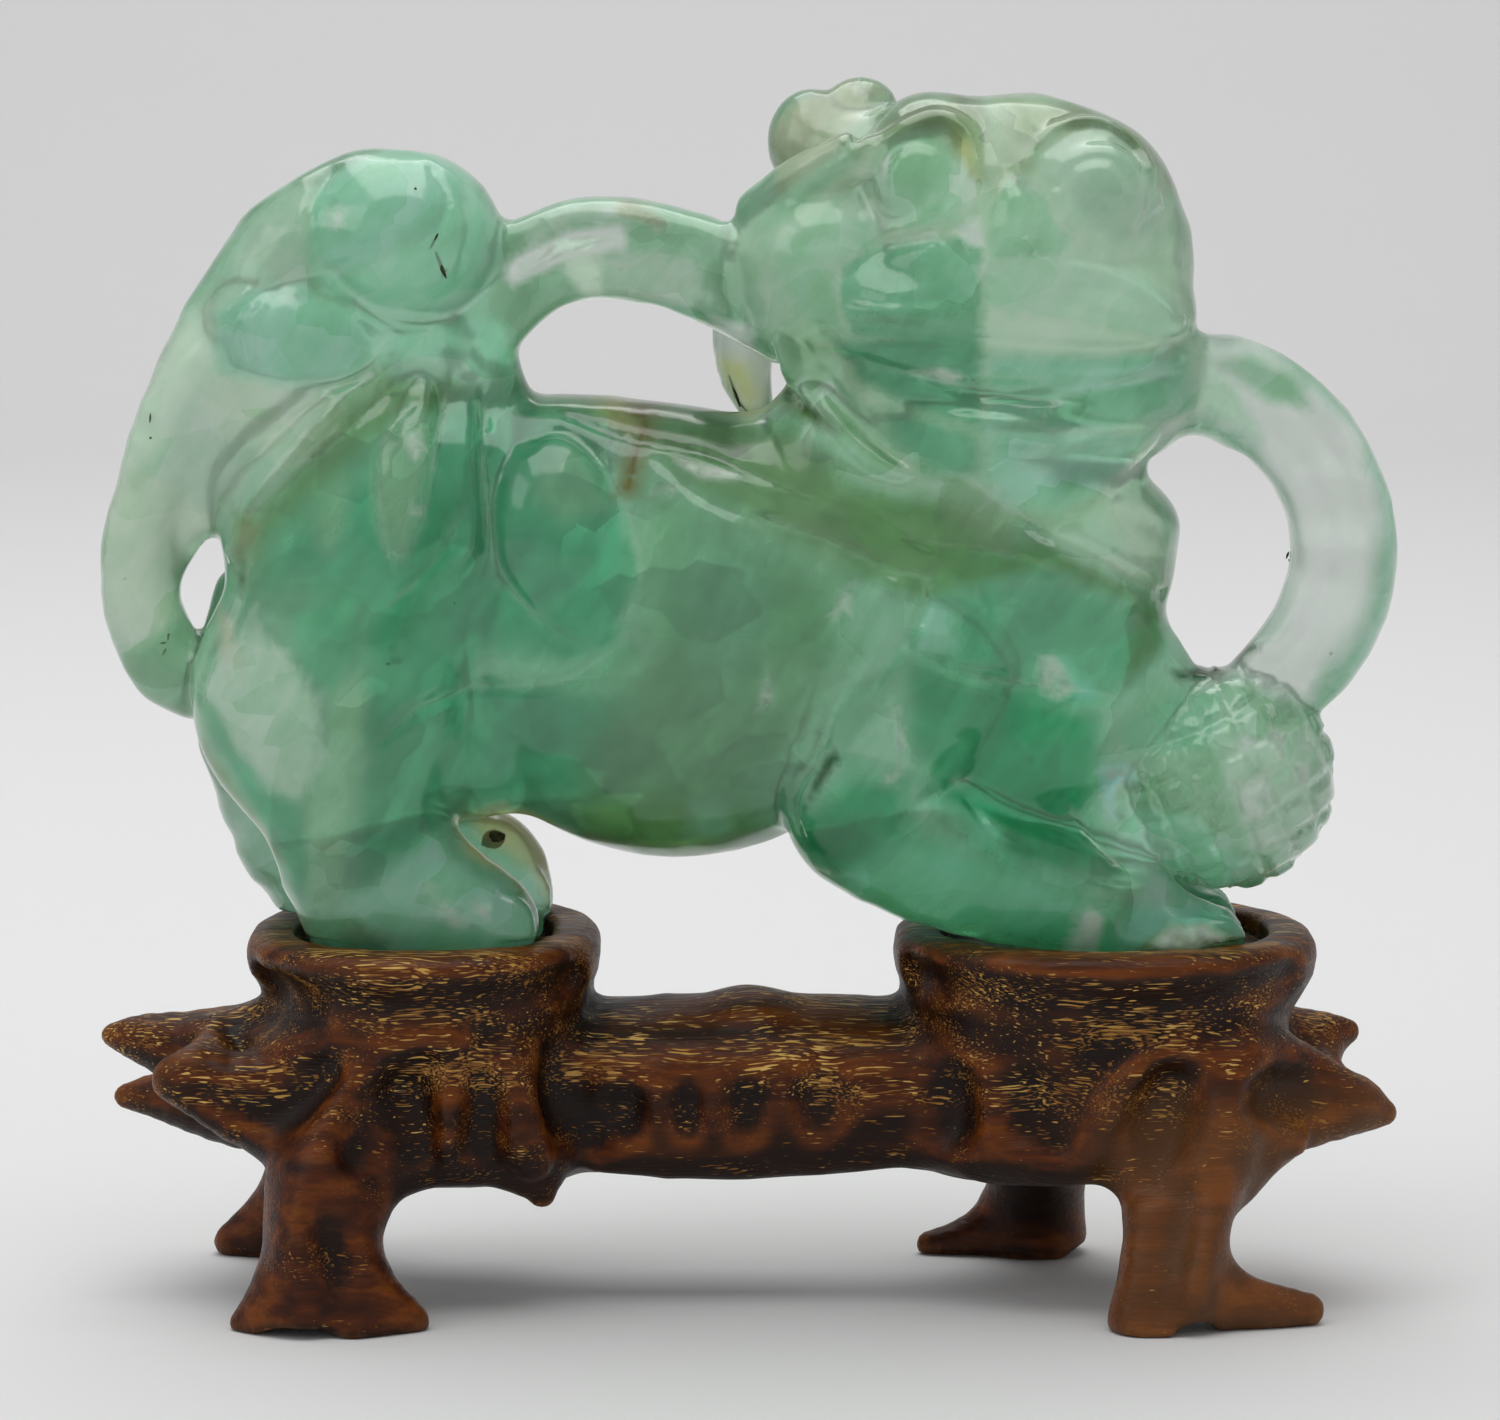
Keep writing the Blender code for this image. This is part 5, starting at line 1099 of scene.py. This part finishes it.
# Where the sheets lie on the near side, and where white glints are painted into the skin's colour, as
# outlines in (x, z)
GLINT_OUTLINES = (
    # Glint on the back
    [(-10, 68.6), (-6.2, 67.7), (-1.7, 67), (-1.7, 66.3), (-6.2, 66.4), (-8.9, 67.5)],
    # Glint behind the glint
    [(-12.3, 65.6), (-9.6, 65.2), (-10, 64.5), (-13, 64.8)],
    # Tail lobe glint
    [(-63.2, 90.5), (-61.8, 91.1), (-60.5, 90.3), (-61.5, 89.8)],
    # Lock crackle
    [(-46.1, 72.4), (-44.4, 73.2), (-43.3, 70.4), (-45.2, 69), (-46.3, 70.4)],
    # Lock glint
    [(-45.7, 62.6), (-43.6, 62.9), (-44.2, 61.8), (-45.4, 61.9)],
    # Curl pearl
    [(-57.1, 101.5), (-55.7, 103.3), (-54.5, 101.9), (-55.1, 99.8), (-56.7, 99.8)],
    # Eye pearl
    [(17.8, 109.2), (18.9, 110), (18.7, 107.6), (17.7, 106.5)],
    # Nose glint
    [(35, 106.8), (36.7, 107.6), (38.1, 105.7), (35.9, 104.9)],
    # Ear glint
    [(13.8, 118.3), (15.9, 118.9), (16.5, 117.5), (14.3, 117)],
    # Arch white
    [(-31.5, 94.4), (-25, 97.9), (-17.5, 98.7), (-17.5, 97.2), (-24.8, 96), (-31.3, 92.5)],
    # Elbow line
    [(19.8, 35.8), (20.5, 33.8), (20.9, 31.6), (20.5, 30.3), (20, 30.7), (20.2, 33.4)],
    # Elbow tick
    [(17.5, 27), (19.4, 27), (20.8, 29.3), (20, 26.1), (18.3, 26.1)],
    # Belly line
    [(7.2, 13.7), (9.5, 13.1), (12.6, 12.6), (11.5, 12), (8.1, 12.6)],
    # Chest sheen
    [(39.4, 41.7), (41.4, 42.4), (44.2, 37.6), (42.8, 36.1), (39.8, 36.9)],
    # Paw facet
    [(46, 7.2), (47.5, 6.8), (47.2, 1.6), (45.1, 1.2)],
    # Paw side
    [(54.7, 3), (57.4, 5.4), (61.9, 5.4), (65.6, 3.7), (59.5, 2)],
    # Toe facets
    [(-43.2, 9.8), (-40.9, 9), (-38.3, 5.4), (-40.2, 4.8), (-42.6, 7.6)],
    # Toe facet
    [(-37.7, 9), (-35, 7.9), (-35.5, 6.2), (-37.2, 7.3)],
    # Face line
    [(21.6, 81.2), (26.3, 81.7), (30.6, 79.9), (27, 79.5)],
    # Chin edge
    [(58.8, 73.8), (59.6, 73.8), (53.5, 67.3), (51, 66.2)],
    # Ball clear one
    [(65, 30.7), (67.4, 31.6), (69.5, 30.7), (66.7, 28.9)],
    # Ball clear two
    [(70.8, 32.7), (72.9, 30.7), (72.2, 28.3), (70.4, 30.3)],
    # Ball clear three
    [(74, 27.9), (75.9, 27), (75.9, 23.8), (74.3, 25.2)],
    # Ball clear four
    [(66.1, 25.2), (69.9, 26.5), (71.9, 21.7), (68.9, 19), (66.8, 21.7)],
    # Barrel glint
    [(1.3, 36.9), (2.2, 39.3), (2.8, 36.9), (2, 35.5)],
    # Barrel tick
    [(11.7, 49.2), (13.9, 53.3), (14.5, 53.1), (12.8, 49.2)],
    # Teal glint
    [(48.6, 25.9), (51.1, 26.7), (51.6, 25.3), (49.2, 24.5)],
    # Leg line
    [(-44, 12.3), (-42.9, 11.8), (-42.3, 10.1), (-43.4, 10.6)],
)
# Painted highlights: the skin is marked for white inside each glint outline and along the pale growth edges
# on the near side
painted_glints_and_edges = np.max([np.clip(0.5 + inside(outline), 0, 1) for outline in GLINT_OUTLINES], axis=0)
painted_glints_and_edges = np.maximum(painted_glints_and_edges, edges * (skin_places[:, 1] < 0))
skin.attributes.new("healed", "FLOAT", "POINT").data.foreach_set("value", painted_glints_and_edges.astype(np.float32))
inclusions("healed_fractures", GLINT_OUTLINES, 0.7, healed, 11)
STAINED = (
    # Back
    [(-19.6, 77.3), (-12.4, 77.4), (-13.0, 74.0), (-14.9, 71.0), (-15.3, 66.6), (-16.4, 64.6), (-18.6, 65.2),
        (-18.4, 70.0), (-16.6, 72.0), (-18.4, 74.6)],
    # Behind the hanging curl
    [(1.5, 80.9), (7.3, 76.9), (8.9, 73.8), (6.8, 73.1), (3.3, 76.9)],
    # Beside the tail's slit
    [(-73.6, 60.2), (-71.1, 60.2), (-70.0, 56.7), (-72.5, 49.2), (-73.4, 54.7)],
    # Hip, thigh, knee and belly
    [(-49.2, 43.6), (-46.5, 44.2), (-45.5, 42.2), (-47.9, 41.1)],
    [(-58.4, 19.1), (-56.3, 19.4), (-55.7, 16.1), (-57.9, 15.8)],
    [(-68.7, 53.7), (-66.9, 51.7), (-67.4, 48.3), (-68.6, 49.7)],
    [(7.4, 33.1), (9.8, 36.5), (9.4, 30.3), (7.4, 25.5)],
)
inclusions("iron_stains", STAINED, 0.6, stained, 91)

# Dark specks: rust and clay in tiny voids, each a pebble (x, z, half length, half width, lean) near the skin
grit, shader = new_material("dark_inclusion")
place = add(grit, "ShaderNodeTexCoord", out="Object")
grains = add(grit, "ShaderNodeTexNoise", Vector=place, Scale=900.0, Detail=2.0)
darks = add(grit, "ShaderNodeValToRGB", {"stops": [(0.35, "#1d1a10"), (0.65, "#4a431f")]}, Fac=grains)
grit.node_tree.links.new(darks, shader.inputs["Base Color"])
shader.inputs["Roughness"].default_value = 0.8
shader.inputs["IOR"].default_value = 1.5
specks = bmesh.new()
for x, z, half_length, half_width, lean in (
    (-42.4, 98.2, 1.3, 0.2, 62), (-41.6, 95.0, 2.2, 0.26, -68), (-41.2, 93.8, 0.8, 0.18, 60),
    (-79.5, 43.7, 0.55, 0.19, 80), (-80, 41.7, 0.55, 0.16, 60), (-81.4, 71.1, 0.22, 0.16, 0),
    (-81.5, 73.8, 0.69, 0.11, 85), (-58.9, 69.4, 0.19, 0.16, 0), (-51.6, 98.3, 0.17, 0.14, 0),
    (-44.9, 105.2, 0.17, 0.16, 0), (74, 54.3, 0.55, 0.16, 70), (74.4, 53.3, 0.55, 0.13, -60),
    (79.7, 41.4, 0.22, 0.18, 0), (-17.4, 93.8, 0.18, 0.16, 0), (-85.3, 51.7, 0.19, 0.14, 20),
    (-80.2, 42.9, 0.41, 0.13, 10), (-39.9, 49.5, 0.17, 0.13, 0), (-48.7, 41.7, 0.28, 0.19, 0),
    (-35.6, 13.9, 1.7, 1.4, 20), (-37.8, 16.7, 0.5, 0.3, 60), (-2, 76.1, 2.6, 0.22, -72),
    (-1.2, 74.3, 1.6, 0.16, -50),
):
    middle = (x, dog.skin(x, z, -1) + half_width * 0.8, z)
    turn = Matrix.Rotation(math.radians(-lean), 4, "Y")
    size = Matrix.Diagonal((half_length, half_width * 0.8, half_width, 1.0))
    made = bmesh.ops.create_icosphere(specks, subdivisions=2, radius=1.0, matrix=turn @ size)
    for corner in made["verts"]:
        wobble = 0.12 * half_width * math.sin(corner.co.x * 23 + corner.co.z * 31)
        corner.co = Vector((np.array(corner.co) + middle + wobble) * dog_stretch + dog_shift)
speck_mesh = bpy.data.meshes.new("dark_specks")
specks.to_mesh(speck_mesh)
specks.free()
speck_mesh.shade_smooth()
speck_mesh.materials.append(grit)
speck_piece = bpy.data.objects.new("dark_specks", speck_mesh)
bpy.context.scene.collection.objects.link(speck_piece)
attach(speck_piece, "root")

# The studio: a pale paper sweep and soft light all round, with a large soft lamp above, a small one at the
# left and one on the paper's wall. None of it is part of the piece.

FLOOR_REACH = 2.6         # metres, as all that follows
WALL_FOOT = 1.15
BEND_RADIUS = 0.35
sweep = [(-2.5, 0.0), (WALL_FOOT, 0.0)]
for step in range(1, 9):
    turn = math.radians(90 * step / 8)
    sweep.append((WALL_FOOT + BEND_RADIUS * math.sin(turn), BEND_RADIUS - BEND_RADIUS * math.cos(turn)))
sweep.append((WALL_FOOT + BEND_RADIUS, 1.8))
corners = [(x, y, z) for y, z in sweep for x in (-FLOOR_REACH, FLOOR_REACH)]
faces = [(2 * i, 2 * i + 1, 2 * i + 3, 2 * i + 2) for i in range(len(sweep) - 1)]
paper_mesh = bpy.data.meshes.new("paper_sweep")
paper_mesh.from_pydata(corners, [], faces)
paper_mesh.shade_smooth()
paper = bpy.data.objects.new("paper_sweep", paper_mesh)
bpy.context.scene.collection.objects.link(paper)
paper_finish, shader = new_material("matt_paper")
shader.inputs["Base Color"].default_value = linear("#e2e2e2")
shader.inputs["Roughness"].default_value = 0.9
paper_mesh.materials.append(paper_finish)

world = bpy.data.worlds.new("soft_room")
bpy.context.scene.world = world
world.use_nodes = True
world.node_tree.nodes["Background"].inputs["Color"].default_value = (1.0, 1.0, 1.0, 1.0)
world.node_tree.nodes["Background"].inputs["Strength"].default_value = 0.44


def soft_light(name, place, target, size, power):
    """A flat lamp with a soft front, turned to a target."""
    lamp = bpy.data.lights.new(name, "AREA")
    lamp.shape = "RECTANGLE"
    lamp.size, lamp.size_y = size
    lamp.energy = power
    holder = bpy.data.objects.new(name, lamp)
    holder.location = place
    holder.rotation_euler = (Vector(target) - Vector(place)).to_track_quat("-Z", "Y").to_euler()
    bpy.context.scene.collection.objects.link(holder)


soft_light("softbox_above", (-0.1, 0.15, 1.1), (0.0, 0.15, 0.0), (1.4, 1.0), 9.4)
soft_light("softbox_left", (-0.9, -0.45, 0.7), (0.0, 0.0, 0.08), (0.5, 0.5), 1.0)
soft_light("paper_light", (0.0, 0.9, 1.3), (0.0, 1.5, 0.5), (1.6, 0.3), 1.8)

# Camera: level with the figure's middle and looking 8 degrees down, from 0.9 m
VIEW_DISTANCE = 0.9
VIEW_DOWN = math.radians(8.0)
VIEW_WIDTH = 1500 * 0.1375 * MM      # what the picture's width spans at the figure
lens = bpy.data.cameras.new("photo_camera")
camera = bpy.data.objects.new("photo_camera", lens)
bpy.context.scene.collection.objects.link(camera)
aim = Vector((0.0006, 0.0, 0.0815))
camera.location = aim + Vector((0.0, -math.cos(VIEW_DOWN), math.sin(VIEW_DOWN))) * VIEW_DISTANCE
camera.rotation_euler = (math.radians(90) - VIEW_DOWN, 0.0, 0.0)
lens.sensor_width = 36.0
lens.lens = 36.0 * VIEW_DISTANCE / VIEW_WIDTH
bpy.context.scene.camera = camera
bpy.context.scene.view_settings.view_transform = "Standard"
